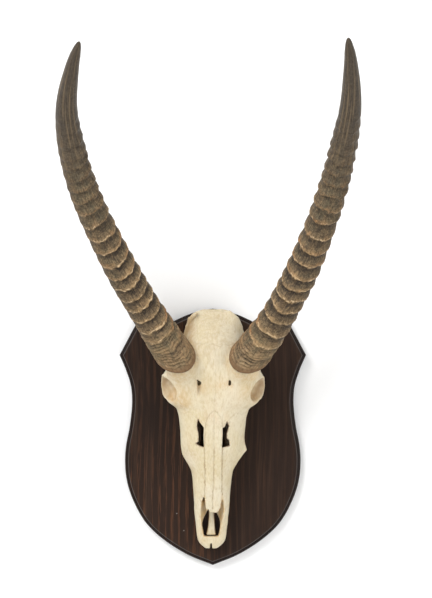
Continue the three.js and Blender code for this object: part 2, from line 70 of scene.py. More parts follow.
def paint(piece, name, values):
    kind = "FLOAT" if np.ndim(values) == 1 else "FLOAT_VECTOR"
    attribute = piece.data.attributes.new(name, kind, "POINT")
    field = "value" if kind == "FLOAT" else "vector"
    attribute.data.foreach_set(field, np.asarray(values, np.float32).ravel())


def handIn(piece, slot, *nodes):  # every piece rides on the one body and stands for its CAD solid
    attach(piece, "root")
    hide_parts(*nodes)
    return piece


def softNoise(points, size, seed):  # smooth random field between -1 and 1
    grid = np.random.default_rng(seed).uniform(-1, 1, (32, 32, 32))
    place = np.asarray(points, float) / size
    low = np.floor(place).astype(int)
    part = place - low
    part = part * part * (3 - 2 * part)
    total = np.zeros(place.shape[:-1])
    for corner in np.ndindex(2, 2, 2):
        weight = np.ones_like(total)
        for axis, far in enumerate(corner):
            weight = weight * (part[..., axis] if far else 1 - part[..., axis])
        i, j, k = (np.mod(low[..., axis] + far, 32) for axis, far in enumerate(corner))
        total += weight * grid[i, j, k]
    return total


def smoothStep(low, high, value):
    t = np.clip((value - low) / (high - low), 0, 1)
    return t * t * (3 - 2 * t)


def bell(*parts):  # one in the middle, less as any of the parts grows
    return np.exp(-sum(part * part for part in parts))


def smoothMin(a, b, blend):
    h = np.clip(0.5 + 0.5 * (b - a) / blend, 0, 1)
    return b * (1 - h) + a * h - blend * h * (1 - h)


def smoothMax(a, b, blend):
    return -smoothMin(-a, -b, blend)


def smoothLine(points, step):  # evenly spaced points on a centripetal curve through the given ones
    given = np.asarray(points, float)
    ends = np.vstack([2 * given[0] - given[1], given, 2 * given[-1] - given[-2]])
    dense = []
    for p0, p1, p2, p3 in zip(ends, ends[1:], ends[2:], ends[3:]):
        d0, d1, d2 = (np.sqrt(np.linalg.norm(b - a)) for a, b in ((p0, p1), (p1, p2), (p2, p3)))
        m1 = ((p1 - p0) / d0 - (p2 - p0) / (d0 + d1) + (p2 - p1) / d1) * d1
        m2 = ((p2 - p1) / d1 - (p3 - p1) / (d1 + d2) + (p3 - p2) / d2) * d1
        t = np.linspace(0, 1, 60, endpoint=False)[:, None]
        dense.append((2 * t**3 - 3 * t**2 + 1) * p1 + (t**3 - 2 * t**2 + t) * m1
                     + (3 * t**2 - 2 * t**3) * p2 + (t**3 - t**2) * m2)
    dense = np.vstack(dense + [given[-1:]])
    gone = np.concatenate([[0], np.cumsum(np.linalg.norm(np.diff(dense, axis=0), axis=1))])
    distance = np.linspace(0, gone[-1], max(2, round(gone[-1] / step) + 1))
    return np.stack([np.interp(distance, gone, c) for c in dense.T], -1), distance


def wallFaces(rows, around):  # quads between closed rows of points
    i = np.arange(rows - 1)[:, None] * around
    k = np.arange(around)[None, :]
    n = (k + 1) % around
    return np.stack([i + k, i + n, i + around + n, i + around + k], -1).reshape(-1, 4)


def closedFaces(rows, around):  # the same, with a fan at each end to one of two further points
    last = rows * around
    top = last - around
    faces = wallFaces(rows, around).tolist()
    faces += [(last, (k + 1) % around, k) for k in range(around)]
    faces += [(last + 1, top + k, top + (k + 1) % around) for k in range(around)]
    return faces


def lineDistance(x, z, line):  # distance in the front view to a chain of straight lines
    best = np.full(np.broadcast(x, z).shape, 1e9)
    for (ax, az), (bx, bz) in zip(line, line[1:]):
        dx, dz = bx - ax, bz - az
        h = np.clip(((x - ax) * dx + (z - az) * dz) / (dx * dx + dz * dz), 0, 1)
        best = np.minimum(best, np.hypot(x - ax - h * dx, z - az - h * dz))
    return best


# Building materials

def newMaterial(name, **values):
    material = bpy.data.materials.new(name)
    material.use_nodes = True
    shader = material.node_tree.nodes["Principled BSDF"]
    for key, value in values.items():
        shader.inputs[key].default_value = value
    return material, material.node_tree, shader


def addNode(tree, kind, inputs=None, **settings):
    node = tree.nodes.new(kind)
    for key, value in settings.items():
        setattr(node, key, value)
    for key, value in (inputs or {}).items():
        if isinstance(value, bpy.types.NodeSocket):
            tree.links.new(value, node.inputs[key])
        else:
            node.inputs[key].default_value = value
    return node


def blendColour(tree, share, low, high):
    node = addNode(tree, "ShaderNodeMix", data_type="RGBA")
    for index, value in ((0, share), (6, low), (7, high)):
        if isinstance(value, bpy.types.NodeSocket):
            tree.links.new(value, node.inputs[index])
        else:
            node.inputs[index].default_value = value if index == 0 else (*value, 1)[:4]
    return node.outputs[2]


def layers(tree, colour, *coats):  # each coat: how much of it shows, and its colour
    for share, coat in coats:
        colour = blendColour(tree, share, colour, coat)
    return colour


def ramp(tree, value, low, high, outLow=0.0, outHigh=1.0):
    node = addNode(tree, "ShaderNodeMapRange", {
        "Value": value, "From Min": low, "From Max": high, "To Min": outLow, "To Max": outHigh,
    }, interpolation_type="SMOOTHSTEP")
    return node.outputs["Result"]


def chain(tree, kind, value, others):
    for other in others:
        value = addNode(tree, "ShaderNodeMath", {0: value, 1: other}, operation=kind).outputs[0]
    return value


def times(tree, value, *others):
    return chain(tree, "MULTIPLY", value, others)


def plus(tree, value, *others):
    return chain(tree, "ADD", value, others)


def vectorMath(tree, kind, a, b):
    return addNode(tree, "ShaderNodeVectorMath", {0: a, 1: b}, operation=kind)


def grain(tree, vector, stretch, scale, detail=4.0, rough=0.55):  # noise, stretched along the axes
    return addNode(tree, "ShaderNodeTexNoise", {
        "Vector": vectorMath(tree, "MULTIPLY", vector, stretch).outputs[0],
        "Scale": scale, "Detail": detail, "Roughness": rough,
    }).outputs[0]


def painted(tree, name, output="Fac"):
    return addNode(tree, "ShaderNodeAttribute", attribute_name=name).outputs[output]


def objectPlace(tree):
    return addNode(tree, "ShaderNodeTexCoord").outputs["Object"]


def bump(tree, shader, height, strength, distance):
    node = addNode(tree, "ShaderNodeBump", {
        "Height": height, "Strength": strength, "Distance": distance,
    })
    tree.links.new(node.outputs["Normal"], shader.inputs["Normal"])


# Camera, lights, wall and floor

studio = {
    "lens": 115.3,
    "cameraPlace": (0.005, -3.0, 0.215),
    "wallGap": 0.0008, "roomSize": 12, "openingInset": 4,
    "floorHeight": -0.95,
    "wallWhite": (0.93, 0.93, 0.93), "floorWhite": (0.86, 0.86, 0.85),
    "lights": {  # place, size, power
        "key": ((-1.5, -2.3, 1.9), 1.5, 80),
        "fill": ((2.4, -2.4, 0.2), 2.2, 34),
        "rear": ((0.6, 3.0, 1.6), 2.0, 60),
    },
    "lightAim": (0, -0.1, 0.2), "skyLight": 0.62,
}


def oneSided(name):  # seen from its front only, so the trophy can be viewed from behind
    material, tree, shader = newMaterial(name, **{"Base Color": (*studio[name], 1), "Roughness": 0.9})
    shader.inputs["Specular IOR Level"].default_value = 0.1
    back = addNode(tree, "ShaderNodeNewGeometry").outputs["Backfacing"]
    clear = addNode(tree, "ShaderNodeBsdfTransparent")
    pick = addNode(tree, "ShaderNodeMixShader", {0: back, 1: shader.outputs[0], 2: clear.outputs[0]})
    tree.links.new(pick.outputs[0], tree.nodes["Material Output"].inputs["Surface"])
    return material


def areaLight(name, place, size, power):
    data = bpy.data.lights.new(name, "AREA")
    data.energy = power
    data.size = size
    lamp = bpy.data.objects.new(name, data)
    lamp.location = place
    lamp.rotation_euler = (Vector(studio["lightAim"]) - lamp.location).to_track_quat("-Z", "Y").to_euler()
    bpy.context.scene.collection.objects.link(lamp)


def setStudio():
    scene = bpy.context.scene
    data = bpy.data.cameras.new("camera")
    data.lens = studio["lens"]
    data.clip_end = 100
    camera = bpy.data.objects.new("camera", data)
    camera.location = studio["cameraPlace"]
    camera.rotation_euler = (math.radians(90), 0, 0)
    scene.collection.objects.link(camera)
    scene.camera = camera

    far = studio["roomSize"]
    low = studio["floorHeight"]
    floor = meshPiece("floor", [(-far, -far, low), (far, -far, low), (far, far, low), (-far, far, low)],
                      [(0, 1, 2, 3)], oneSided("floorWhite"), smooth=False)

    for name, (place, size, power) in studio["lights"].items():
        areaLight(name, place, size, power)
    world = bpy.data.worlds.new("softRoom")
    world.use_nodes = True
    world.node_tree.nodes["Background"].inputs["Color"].default_value = (1, 1, 1, 1)
    world.node_tree.nodes["Background"].inputs["Strength"].default_value = studio["skyLight"]
    scene.world = world
    scene.view_settings.view_transform = "Standard"


setStudio()
print("studio: camera, lights and floor")


# The wooden shield

shield = {
    "arch": [(0, 200), (20, 196.6), (42, 189.3), (60, 181)],
    "scoop": [(76, 173.5), (98, 170), (117, 181.5)],
    "side": [
        (117, 181.5), (145.5, 127.6), (135.4, 104), (127.8, 79), (126, 54), (129.6, 17), (135.4, -14),
        (137, -38), (134.6, -66), (126, -95), (106, -132), (81, -157), (41, -183), (0, -200),
    ],
    "edge": [  # how far in, and how far out from the wall
        (1.0, 0), (0.2, 0.5), (0.0, 1.2), (0, 10.6), (0.1, 12), (0.5, 13.2), (1.2, 14.2), (2.3, 15.0),
        (3.6, 15.6), (4.7, 16.0), (5.1, 16.2), (5.25, 16.6), (5.4, 17.6), (5.6, 18.6), (5.9, 19.3),
        (6.4, 19.75), (7.0, 19.95), (8.0, 20),
    ],
    "pitch": 1.5, "sharpBend": 0.94,
    "plateHeight": 150, "plateWidth": 22, "plateLength": 52, "rebate": 2.2, "plateSpace": 0.3,
    "pocketWidth": 13, "pocketLength": 34, "pocketDepth": 9,
    "screwSpacing": 42, "pilot": [(0, 2), (1.2, 2), (1.2, 14), (0, 14)],  # radius, out from the wall
    # where the painted highlight line on the routed edge lies: how far in, and how wide
    "highlightInset": 5.9, "highlightWidth": 0.45,
    "darkStain": (0.0175, 0.0105, 0.0080),
    "midStain": (0.0290, 0.0165, 0.0115),
    "ribStain": (0.049, 0.0275, 0.0180),
    "redStain": (0.100, 0.043, 0.0215),
    "streakScale": 29,
    "flecks": [(-56.0, -20, -118.7), (-45.0, -20, -145.3)],
    "fleckGrey": (0.22, 0.2, 0.18),
    # painted shade on the routed edge, where it falls away from the light
    "rimShade": (0.0100, 0.0065, 0.0055),
    # the painted highlight line along the routed edge
    "edgeHighlight": (0.11, 0.095, 0.085),
}


def shieldOutline():
    def spline(points):
        line, _ = smoothLine(np.array([(x, z, 0) for x, z in points]), shield["pitch"])
        return line[:, :2]
    arch = spline(shield["arch"])
    start = np.array(shield["arch"][-1], float)
    c1, c2, corner = (np.array(p, float) for p in shield["scoop"])
    t = np.linspace(0, 1, 40)[1:, None]
    scoop = (1 - t) ** 3 * start + 3 * (1 - t) ** 2 * t * c1 + 3 * (1 - t) * t**2 * c2 + t**3 * corner
    straight = np.linspace(shield["side"][0], shield["side"][1], 40)[:-1]
    side = spline(shield["side"][1:])
    right = np.vstack([arch, scoop, straight[1:], side])
    left = right[1:-1][::-1] * (-1, 1)
    return np.vstack([right, left])


def crossOf(a, b):
    return a[0] * b[1] - a[1] * b[0]


def insetOutline(outline, distance):
    before = np.roll(outline, 1, axis=0)
    after = np.roll(outline, -1, axis=0)
    a = outline - before
    b = after - outline
    a /= np.linalg.norm(a, axis=1)[:, None]
    b /= np.linalg.norm(b, axis=1)[:, None]
    inwards = np.stack([a[:, 1] + b[:, 1], -a[:, 0] - b[:, 0]], -1)
    bend = (a * b).sum(1)
    moved = outline + inwards * (distance / (1 + bend))[:, None]
    for k in np.flatnonzero(bend < shield["sharpBend"]):  # a sharp corner swallows its neighbours
        mitre = moved[k] - outline[k]
        for step in (-1, 1):
            j = (k + step) % len(outline)
            while crossOf(mitre, outline[j] - outline[k]) * crossOf(mitre, moved[j] - outline[k]) < 0:
                moved[j] = moved[k]
                j = (j + step) % len(outline)
    return moved


def stainedWood():
    material, tree, shader = newMaterial("stainedWood", **{"Roughness": 0.42, "Specular IOR Level": 0.1})
    place = objectPlace(tree)
    sway = grain(tree, place, (1, 1, 1), 3.2, 1)
    shift = addNode(tree, "ShaderNodeCombineXYZ", {"X": ramp(tree, sway, 0.3, 0.7, -0.003, 0.003)})
    path = vectorMath(tree, "ADD", place, shift.outputs[0]).outputs[0]
    flat = vectorMath(tree, "MULTIPLY", path, (1, 0.3, 0.03))
    bands = addNode(tree, "ShaderNodeTexWave", {
        "Vector": flat.outputs[0], "Scale": shield["streakScale"], "Distortion": 5.5, "Detail": 3.0,
        "Detail Scale": 16.0, "Detail Roughness": 0.6,
    }, wave_type="BANDS", bands_direction="X").outputs["Fac"]
    ribs = grain(tree, path, (1, 0.4, 0.03), 170, 2, 0.5)
    fine = grain(tree, path, (1, 0.5, 0.025), 520, 3, 0.6)
    broad = grain(tree, place, (1, 1, 0.5), 8, 2)
    axes = addNode(tree, "ShaderNodeSeparateXYZ", {0: place}).outputs
    leftShare = ramp(tree, axes["X"], -0.03, 0.06, 0.9, 0.18)
    lowShare = ramp(tree, axes["Z"], -0.15, 0.14, 0.95, 0.7)
    redShare = times(tree, ramp(tree, bands, 0.74, 1.0), leftShare, lowShare,
                       ramp(tree, broad, 0.3, 0.6, 0.3, 1.0), ramp(tree, fine, 0.35, 0.6, 0.45, 1.0))
    colour = layers(
        tree, shield["darkStain"],
        (ramp(tree, broad, 0.3, 0.7), shield["midStain"]),
        (ramp(tree, ribs, 0.48, 0.72, 0, 0.6), shield["ribStain"]),
        (redShare, shield["redStain"]),
        (ramp(tree, fine, 0.48, 0.7, 0, 0.65), shield["darkStain"]),
    )
    for fleck in shield["flecks"]:  # two pale nicks in the varnish
        away = vectorMath(tree, "DISTANCE", place, [v * mm for v in fleck]).outputs["Value"]
        near = ramp(tree, away, 0.0014, 0.0003, 0, 0.8)
        colour = blendColour(tree, near, colour, shield["fleckGrey"])
    rim = ramp(tree, axes["Y"], -0.0192, -0.0165, 0, 0.75)  # painted shade: the routed edge, falling away from the light, is painted darker
    # a painted highlight line where the routed edge meets the face
    edge = times(tree, painted(tree, "edge"), ramp(tree, broad, 0.3, 0.7, 0.5, 0.9))
    colour = layers(tree, colour, (rim, shield["rimShade"]), (edge, shield["edgeHighlight"]))
    tree.links.new(colour, shader.inputs["Base Color"])
    bump(tree, shader, fine, 0.12, 0.0006)
    return material


def boxMesh(name, low, high):
    corners = [(x, y, z) for x in (low[0], high[0]) for y in (low[1], high[1]) for z in (low[2], high[2])]
    faces = [(0, 1, 3, 2), (4, 6, 7, 5), (0, 4, 5, 1), (2, 3, 7, 6), (0, 2, 6, 4), (1, 5, 7, 3)]
    return meshPiece(name, np.array(corners) * mm, faces, smooth=False)


def turnedPiece(name, profile, x, z, around=32, material=None):  # profile: (radius, out from the wall)
    angle = np.linspace(0, 2 * np.pi, around, endpoint=False)
    inner = [p for p in profile if p[0] > 0]
    rows = [toScene(x + r * np.cos(angle), out, z + r * np.sin(angle)) for r, out in inner]
    points = np.vstack(rows + [toScene([x], [profile[0][1]], [z]), toScene([x], [profile[-1][1]], [z])])
    piece = meshPiece(name, points, closedFaces(len(inner), around), material)
    fixNormals(piece)
    return piece


def fixNormals(piece, merge=False):
    work = bmesh.new()
    work.from_mesh(piece.data)
    if merge:
        bmesh.ops.remove_doubles(work, verts=work.verts, dist=1e-7)
    bmesh.ops.recalc_face_normals(work, faces=work.faces)
    work.to_mesh(piece.data)
    work.free()


def carve(piece, cutters):  # boolean cuts, applied
    for cutter in cutters:
        change = piece.modifiers.new("cut", "BOOLEAN")
        change.operation = "DIFFERENCE"
        change.solver = "EXACT"
        change.object = cutter
    bpy.context.view_layer.update()
    result = bpy.data.meshes.new_from_object(piece.evaluated_get(bpy.context.evaluated_depsgraph_get()))
    piece.modifiers.clear()
    piece.data = result
    for cutter in cutters:
        bpy.data.objects.remove(cutter)


head = {"lean": math.radians(0.6), "pivotX": 1.6, "pivotZ": 50}
skullScrew = {
    "spots": [(-24, 158), (24, 158), (0, 104)],
    "shank": 2, "rim": 4.4, "headDepth": 3.4, "length": 52, "sunk": 0.6,
    "hole": [(0, -2), (4.9, -2), (4.9, 1.0), (2.4, 4.4), (2.4, 30), (0, 30)],  # radius, out from the wall
}


def leanPoints(x, z, way=1):  # from the skull's own upright frame to the trophy's; way -1 goes back
    c, s = math.cos(head["lean"]), way * math.sin(head["lean"])
    dx, dz = x - head["pivotX"], z - head["pivotZ"]
    return head["pivotX"] + dx * c + dz * s, head["pivotZ"] - dx * s + dz * c


def makeShield(material):
    outline = shieldOutline()
    rows = [insetOutline(outline, inset) for inset, _ in shield["edge"]]
    around = len(outline)
    points = np.vstack([toScene(r[:, 0], out, r[:, 1]) for r, (_, out) in zip(rows, shield["edge"])])
    faces = wallFaces(len(rows), around).tolist()
    faces.append(list(range(around))[::-1])
    faces.append(list(range(len(points) - around, len(points))))
    board = meshPiece("shield", points, faces, material)
    # a painted highlight line along the top of the routed edge
    highlightLine = [bell((inset - shield["highlightInset"]) / shield["highlightWidth"]) for inset, _ in shield["edge"]]
    paint(board, "edge", np.repeat(highlightLine, around))
    fixNormals(board, merge=True)
    space, middle = shield["plateSpace"], shield["plateHeight"]
    cutters = []
    for name, width, length, depth in (
        ("rebateCut", shield["plateWidth"] + 2 * space, shield["plateLength"] + 2 * space,
         shield["rebate"] + space),
        ("pocketCut", shield["pocketWidth"], shield["pocketLength"], shield["pocketDepth"]),
    ):
        low, high = (-width / 2, -depth, middle - length / 2), (width / 2, 2, middle + length / 2)
        cutters.append(boxMesh(name, low, high))
    for side in (-1, 1):
        z = middle + side * shield["screwSpacing"] / 2
        cutters.append(turnedPiece("pilotCut", shield["pilot"], 0, z, 24))
    for spot in skullScrew["spots"]:
        cutters.append(turnedPiece("screwCut", skullScrew["hole"], *leanPoints(*spot)))
    carve(board, cutters)
    sides = board.data.polygons  # all but the flat front and back are shaded smooth
    rounded = [abs(p.normal.y) < 0.999 and abs(p.center.y) > 0.0004 for p in sides]
    sides.foreach_set("use_smooth", rounded)
    return handIn(board, "stained_wood", "shield_board")


def makeWall():  # open behind the board, so that light also reaches the board's back
    inner = insetOutline(shieldOutline(), studio["openingInset"]) * mm
    far, low = studio["roomSize"], studio["floorHeight"]
    reach = far / np.abs(inner[:, 0]).clip(1e-4)
    edge = np.where(inner[:, 1] > 0, far, low)
    reach = np.minimum(reach, edge / np.where(inner[:, 1] == 0, 1e-4, inner[:, 1]))
    outer = inner * reach[:, None]
    flat = np.vstack([inner, outer])
    points = np.stack([flat[:, 0], np.full(len(flat), studio["wallGap"]), flat[:, 1]], -1)
    wall = meshPiece("wall", points, wallFaces(2, len(inner)), oneSided("wallWhite"), smooth=False)
    if wall.data.polygons[0].normal.y > 0:
        wall.data.flip_normals()


wood = stainedWood()
makeShield(wood)
makeWall()
print("shield: routed board with its pocket and screw holes, on the wall")


# Steel fittings in the back

fitting = {
    "sheet": 1.6, "corner": 2.5, "keyRadius": 4.2, "slotRadius": 2.2, "slotLength": 11,
    "holeRadius": 1.9, "rounding": 0.2,
    "steel": (0.55, 0.54, 0.5), "dullSteel": (0.36, 0.34, 0.3),
}
plateScrew = {"shank": 1.3, "rim": 2.9, "headDepth": 1.9, "length": 12, "sunk": 0.1}


def platedSteel():
    material, tree, shader = newMaterial("platedSteel", **{"Metallic": 1.0, "Roughness": 0.38})
    place = objectPlace(tree)
    spots = grain(tree, place, (1, 1, 1), 300, 3)
    dull = blendColour(tree, ramp(tree, spots, 0.35, 0.7), fitting["steel"], fitting["dullSteel"])
    tree.links.new(dull, shader.inputs["Base Color"])
    tree.links.new(ramp(tree, spots, 0.3, 0.7, 0.3, 0.5), shader.inputs["Roughness"])
    return material


def makeHangerPlate(material):
    curve = bpy.data.curves.new("hangerPlate", "CURVE")
    curve.dimensions = "2D"
    curve.fill_mode = "BOTH"
    rounding = fitting["rounding"]
    curve.extrude = (fitting["sheet"] / 2 - rounding) * mm
    curve.bevel_depth = rounding * mm
    curve.bevel_resolution = 2

    def loop(points):
        spline = curve.splines.new("POLY")
        spline.points.add(len(points) - 1)
        for point, (x, z) in zip(spline.points, points):
            point.co = (x * mm, z * mm, 0, 1)
        spline.use_cyclic_u = True

    def arc(x, z, radius, start, end, steps):
        return [(x + radius * math.cos(a), z + radius * math.sin(a))
                for a in np.radians(np.linspace(start, end, steps))]

    w = shield["plateWidth"] / 2 - fitting["corner"]
    h = shield["plateLength"] / 2 - fitting["corner"]
    corners = [(w, h, 0), (-w, h, 90), (-w, -h, 180), (w, -h, 270)]
    loop([p for x, z, a in corners for p in arc(x, z, fitting["corner"] - rounding, a, a + 90, 8)])
    meet = math.degrees(math.asin(fitting["slotRadius"] / fitting["keyRadius"]))
    low = -fitting["slotLength"] / 2
    loop(arc(0, low, fitting["keyRadius"] + rounding, 90 + meet, 450 - meet, 40)
         + arc(0, low + fitting["slotLength"], fitting["slotRadius"] + rounding, 0, 180, 16))
    for side in (-1, 1):
        loop(arc(0, side * shield["screwSpacing"] / 2, fitting["holeRadius"] + rounding, 0, 345, 24))
    flat = bpy.data.objects.new("hangerPlateCurve", curve)
    bpy.context.scene.collection.objects.link(flat)
    bpy.context.view_layer.update()
    mesh = bpy.data.meshes.new_from_object(flat)
    bpy.data.objects.remove(flat)
    depth = (fitting["sheet"] / 2 - shield["rebate"]) * mm
    for vertex in mesh.vertices:
        x, z, thick = vertex.co
        vertex.co = (x, thick + depth, z + shield["plateHeight"] * mm)
    mesh.materials.clear()
    mesh.materials.append(material)
    plate = bpy.data.objects.new("hangerPlate", mesh)
    bpy.context.scene.collection.objects.link(plate)
    fixNormals(plate)
    return handIn(plate, "plated_steel", "hanger_plate")


def crossRecess(x, z, out, reach, thick, depth):  # two cutters for a screwdriver cross
    return [
        boxMesh("crossCut", (x - a, -out - depth, z - b), (x + a, -out + 2, z + b))
        for a, b in ((reach, thick), (thick, reach))
    ]


def makeScrew(name, node, x, z, size, material):
    face, rim, shank, headDepth, length = (
        size[part] for part in ("sunk", "rim", "shank", "headDepth", "length"))
    profile = [
        (0, face), (rim * 0.55, face + 0.02), (rim * 0.85, face + 0.12), (rim, face + 0.45),
        (rim * 0.97, face + 0.6), (shank, face + headDepth),
    ]
    pitch = shank * 0.8
    out = face + headDepth + 0.5
    while out < length - 2 * shank:  # thread
        profile += [(shank * 0.8, out), (shank, out + pitch * 0.4), (shank * 0.8, out + pitch * 0.8)]
        out += pitch
    profile += [(shank * 0.75, out), (0, length)]
    screw = turnedPiece(name, profile, x, z, 40, material)
    carve(screw, crossRecess(x, z, face, rim * 0.55, rim * 0.13, rim * 0.5))
    return handIn(screw, "plated_steel", node)


steel = platedSteel()
makeHangerPlate(steel)
for index, side in enumerate((-1, 1), 1):
    z = shield["plateHeight"] + side * shield["screwSpacing"] / 2
    makeScrew(f"hangerScrew{index}", f"hanger_screw_{index}", 0, z, plateScrew, steel)
for index, spot in enumerate(skullScrew["spots"], 1):
    makeScrew(f"skullScrew{index}", f"skull_screw_{index}", *leanPoints(*spot), skullScrew, steel)
print("fittings: hanger plate and five screws")


# The two horns

horn = {
    "around": 160,
    "step": 1.0,
    "radii": [  # distance from the tip, radius
        (0, 2.2), (12, 5.2), (28, 7.8), (82, 12.8), (134, 16.2), (183, 20), (254, 22), (344, 23.6),
        (400, 25.2), (473, 25.2), (520, 27.4), (568, 29),
    ],
    "tipStart": 0.6,
    "ringHeight": 2.9, "ringLip": 5.4, "ringEnds": 18,
    "along": {  # where each effect sets in, as distances from the tip
        "body": (100, 170), "flatter": (430, 510), "sag": (40, 160), "steeper": (265, 345),
        "colour": (110, 240), "fullColour": (270, 370), "line": (240, 330), "groove": (130, 175),
        "tip": (300, 110),
    },
    "tipDip": 0.3, "ringDip": 0.62,  # rings sag towards the base in front
    "baseDip": 0.85, "baseDipStart": 500, "baseLift": 0.2,
    "wrinkles": 0.85, "wrinklePitch": 4.2, "wrinkleLength": 62, "wrinkleFade": 230,
    "rimBand": 9,
    "fibres": 0.2, "lumps": 0.42, "middleRadius": 25, "axisReach": {"tip": 0.2, "base": 3},
    "wobble": [  # how far the rings stray: reach, stretch, size, number added to the seed
        (2.6, (1, 1, 1), 17, 0), (1.6, (1, 1, 1), 6, 1), (0.95, (1, 1, 0.3), 2.6, 12),
    ],
    "tipBrown": (0.070, 0.055, 0.040), "tipGrey": (0.052, 0.044, 0.036),
    "bandBrown": (0.122, 0.086, 0.050), "bandOlive": (0.100, 0.086, 0.054),
    "bandTan": (0.190, 0.118, 0.060),
    "baseTan": (0.300, 0.195, 0.100), "baseOlive": (0.165, 0.128, 0.072),
    "crestOchre": (0.41, 0.265, 0.125), "crestRust": (0.40, 0.20, 0.08),
    "crestPale": (0.55, 0.40, 0.235),
    # painted shade in the ring grooves, the wrinkle troughs and between the base ridges; it also darkens
    # the base edge
    "grooveShade": (0.022, 0.017, 0.013),
    "poreDark": (0.030, 0.021, 0.014), "fibreLight": (0.27, 0.185, 0.095),
    "rimRed": (0.140, 0.070, 0.033), "rimTan": (0.205, 0.122, 0.060),
    "ridgeHeight": 0.45, "ridgePitch": 3.9, "ridgeStart": 6, "ridgeEnd": 40,
}
leftHorn = {
    "side": -1, "seed": 11,
    "line": [
        (-183.9, 355, 571), (-196.9, 316.5, 538.5), (-208.5, 265, 485.6), (-203.2, 223, 429.6),
        (-188.1, 190.5, 372.8), (-164.8, 165.4, 317.3), (-137.3, 147, 262.2), (-106.1, 133.5, 208.1),
        (-81.6, 126.5, 168.9), (-55.2, 120, 129),
    ],
    "rings": [153, 174, 195, 210, 229, 249, 265, 284, 305, 326, 347, 369, 388.5, 409.5, 426.5, 445.5,
              464.5, 484, 501, 518],
    "lift": -0.08,
    "innerShare": 1.0, "outerShare": 0.25, "backShare": 0.45, "ridges": 0.2,
}
rightHorn = {
    "side": 1, "seed": 47,
    "line": [
        (187.7, 355, 576.2), (194, 316.5, 542.7), (197.1, 265, 489.1), (189.3, 223, 433.2),
        (176.1, 190.5, 375.9), (157.5, 165.4, 318.3), (134.8, 147, 260.7), (107.2, 133.5, 205.3),
        (86, 126.8, 170.4), (54.3, 120, 128.2),
    ],
    "rings": [154, 172, 189, 207, 226, 243, 261.5, 282.5, 302.5, 325, 348.5, 370.5, 391.5, 410, 429, 448,
              467, 488, 509, 526],
    "lift": 0.05,
    "innerShare": 1.15, "outerShare": 1.05, "backShare": 0.45, "ridges": 1,
}


def hornKeratin():
    material, tree, shader = newMaterial("hornKeratin", **{"Roughness": 0.6, "Specular IOR Level": 0.16})
    straight = painted(tree, "straight", "Vector")
    crest, groove, tip, rim, base, line = (
        painted(tree, word) for word in ("crest", "groove", "tip", "rim", "base", "line"))
    mottle = grain(tree, straight, (1, 1, 1.6), 260, 3, 0.7)
    fibre = grain(tree, straight, (1, 1, 0.12), 800, 3, 0.65)
    speck = grain(tree, straight, (1, 1, 0.55), 430, 4, 0.75)
    growth = grain(tree, straight, (0.3, 0.3, 1), 520, 3, 0.6)
    patch = grain(tree, straight, (1, 1, 0.5), 85, 4, 0.65)
    cloud = grain(tree, straight, (1, 1, 0.4), 24, 3, 0.5)
    streak = grain(tree, straight, (1, 1, 0.03), 260, 2)
    rough = times(tree, plus(tree, fibre, speck, growth), 1 / 3)
    baseTint = blendColour(tree, ramp(tree, patch, 0.38, 0.62), horn["baseTan"], horn["baseOlive"])
    crestTint = blendColour(tree, ramp(tree, cloud, 0.42, 0.6), horn["crestOchre"], horn["crestRust"])
    lineTint = blendColour(tree, ramp(tree, cloud, 0.5, 0.62), horn["crestPale"], horn["crestRust"])
    pores = times(tree, ramp(tree, rough, 0.42, 0.53, 0.72, 0.0), ramp(tree, base, 0, 1, 1, 0.6),
                    ramp(tree, rim, 0, 1, 1, 0.45))
    colour = layers(
        tree, horn["bandBrown"],
        (ramp(tree, cloud, 0.35, 0.7), horn["bandOlive"]),
        (ramp(tree, patch, 0.42, 0.7, 0, 0.5), horn["bandTan"]),
        (base, baseTint),
        (ramp(tree, mottle, 0.55, 0.66, 0, 0.4), horn["crestOchre"]),
        (ramp(tree, mottle, 0.46, 0.36, 0, 0.55), horn["poreDark"]),
        (times(tree, crest, ramp(tree, patch, 0.3, 0.6, 0.3, 1)), crestTint),
        # painted shade in the grooves below the crests and in the wrinkles
        (times(tree, groove, ramp(tree, patch, 0.7, 0.35, 0.6, 1)), horn["grooveShade"]),
        (rim, blendColour(tree, patch, horn["rimRed"], horn["rimTan"])),
        (tip, blendColour(tree, cloud, horn["tipBrown"], horn["tipGrey"])),
        (pores, horn["poreDark"]),
        (ramp(tree, growth, 0.52, 0.7, 0, 0.45), horn["poreDark"]),  # hair-thin lines round the horn
        (times(tree, ramp(tree, rough, 0.51, 0.62, 0.0, 0.5), ramp(tree, tip, 0, 1, 1, 0.45)),
         horn["fibreLight"]),
        (times(tree, ramp(tree, streak, 0.5, 0.7, 0, 0.4), tip), horn["fibreLight"]),
        (times(tree, line, ramp(tree, mottle, 0.38, 0.58)), lineTint),
    )
    tree.links.new(colour, shader.inputs["Base Color"])
    tree.links.new(ramp(tree, tip, 0, 1, 0.62, 0.45), shader.inputs["Roughness"])
    bump(tree, shader, rough, 0.6, 0.0014)
    return material


def ringShape(place, rings):  # relief between -1 and 0.15, and where the crest and the groove are
    stops = np.array([rings[0] - horn["ringEnds"], *rings, rings[-1] + horn["ringEnds"]], float)
    i = np.clip(np.searchsorted(stops, place, side="right") - 1, 0, len(stops) - 2)
    start, end = stops[i], stops[i + 1]
    t = (place - start) / (end - start)
    lip = horn["ringLip"] / (end - start)
    u = np.clip((t - lip) / (1 - lip), 0, 1)
    rising = 0.5 - 0.5 * np.cos(np.pi * u**1.25)
    falling = 0.5 + 0.5 * np.cos(np.pi * np.clip(t / lip, 0, 1))
    wave = np.where(t < lip, falling, rising)
    relief = -1 + 1.15 * wave
    crest = np.where(t < lip, 1 - smoothStep(0.05, 0.5, t / lip), smoothStep(0.55, 0.96, u))
    groove = np.where(t < lip, smoothStep(0.25, 0.7, t / lip), 1 - smoothStep(0.1, 0.6, u))
    outside = (place < stops[0]) | (place > stops[-1])
    fade = np.clip(0.45 + (i - 1) / 6, 0.3, 1) * np.where(i > len(stops) - 4, 0.55, 1)
    fade = np.where(outside, 0, fade)
    return relief * fade, crest * fade, groove * fade


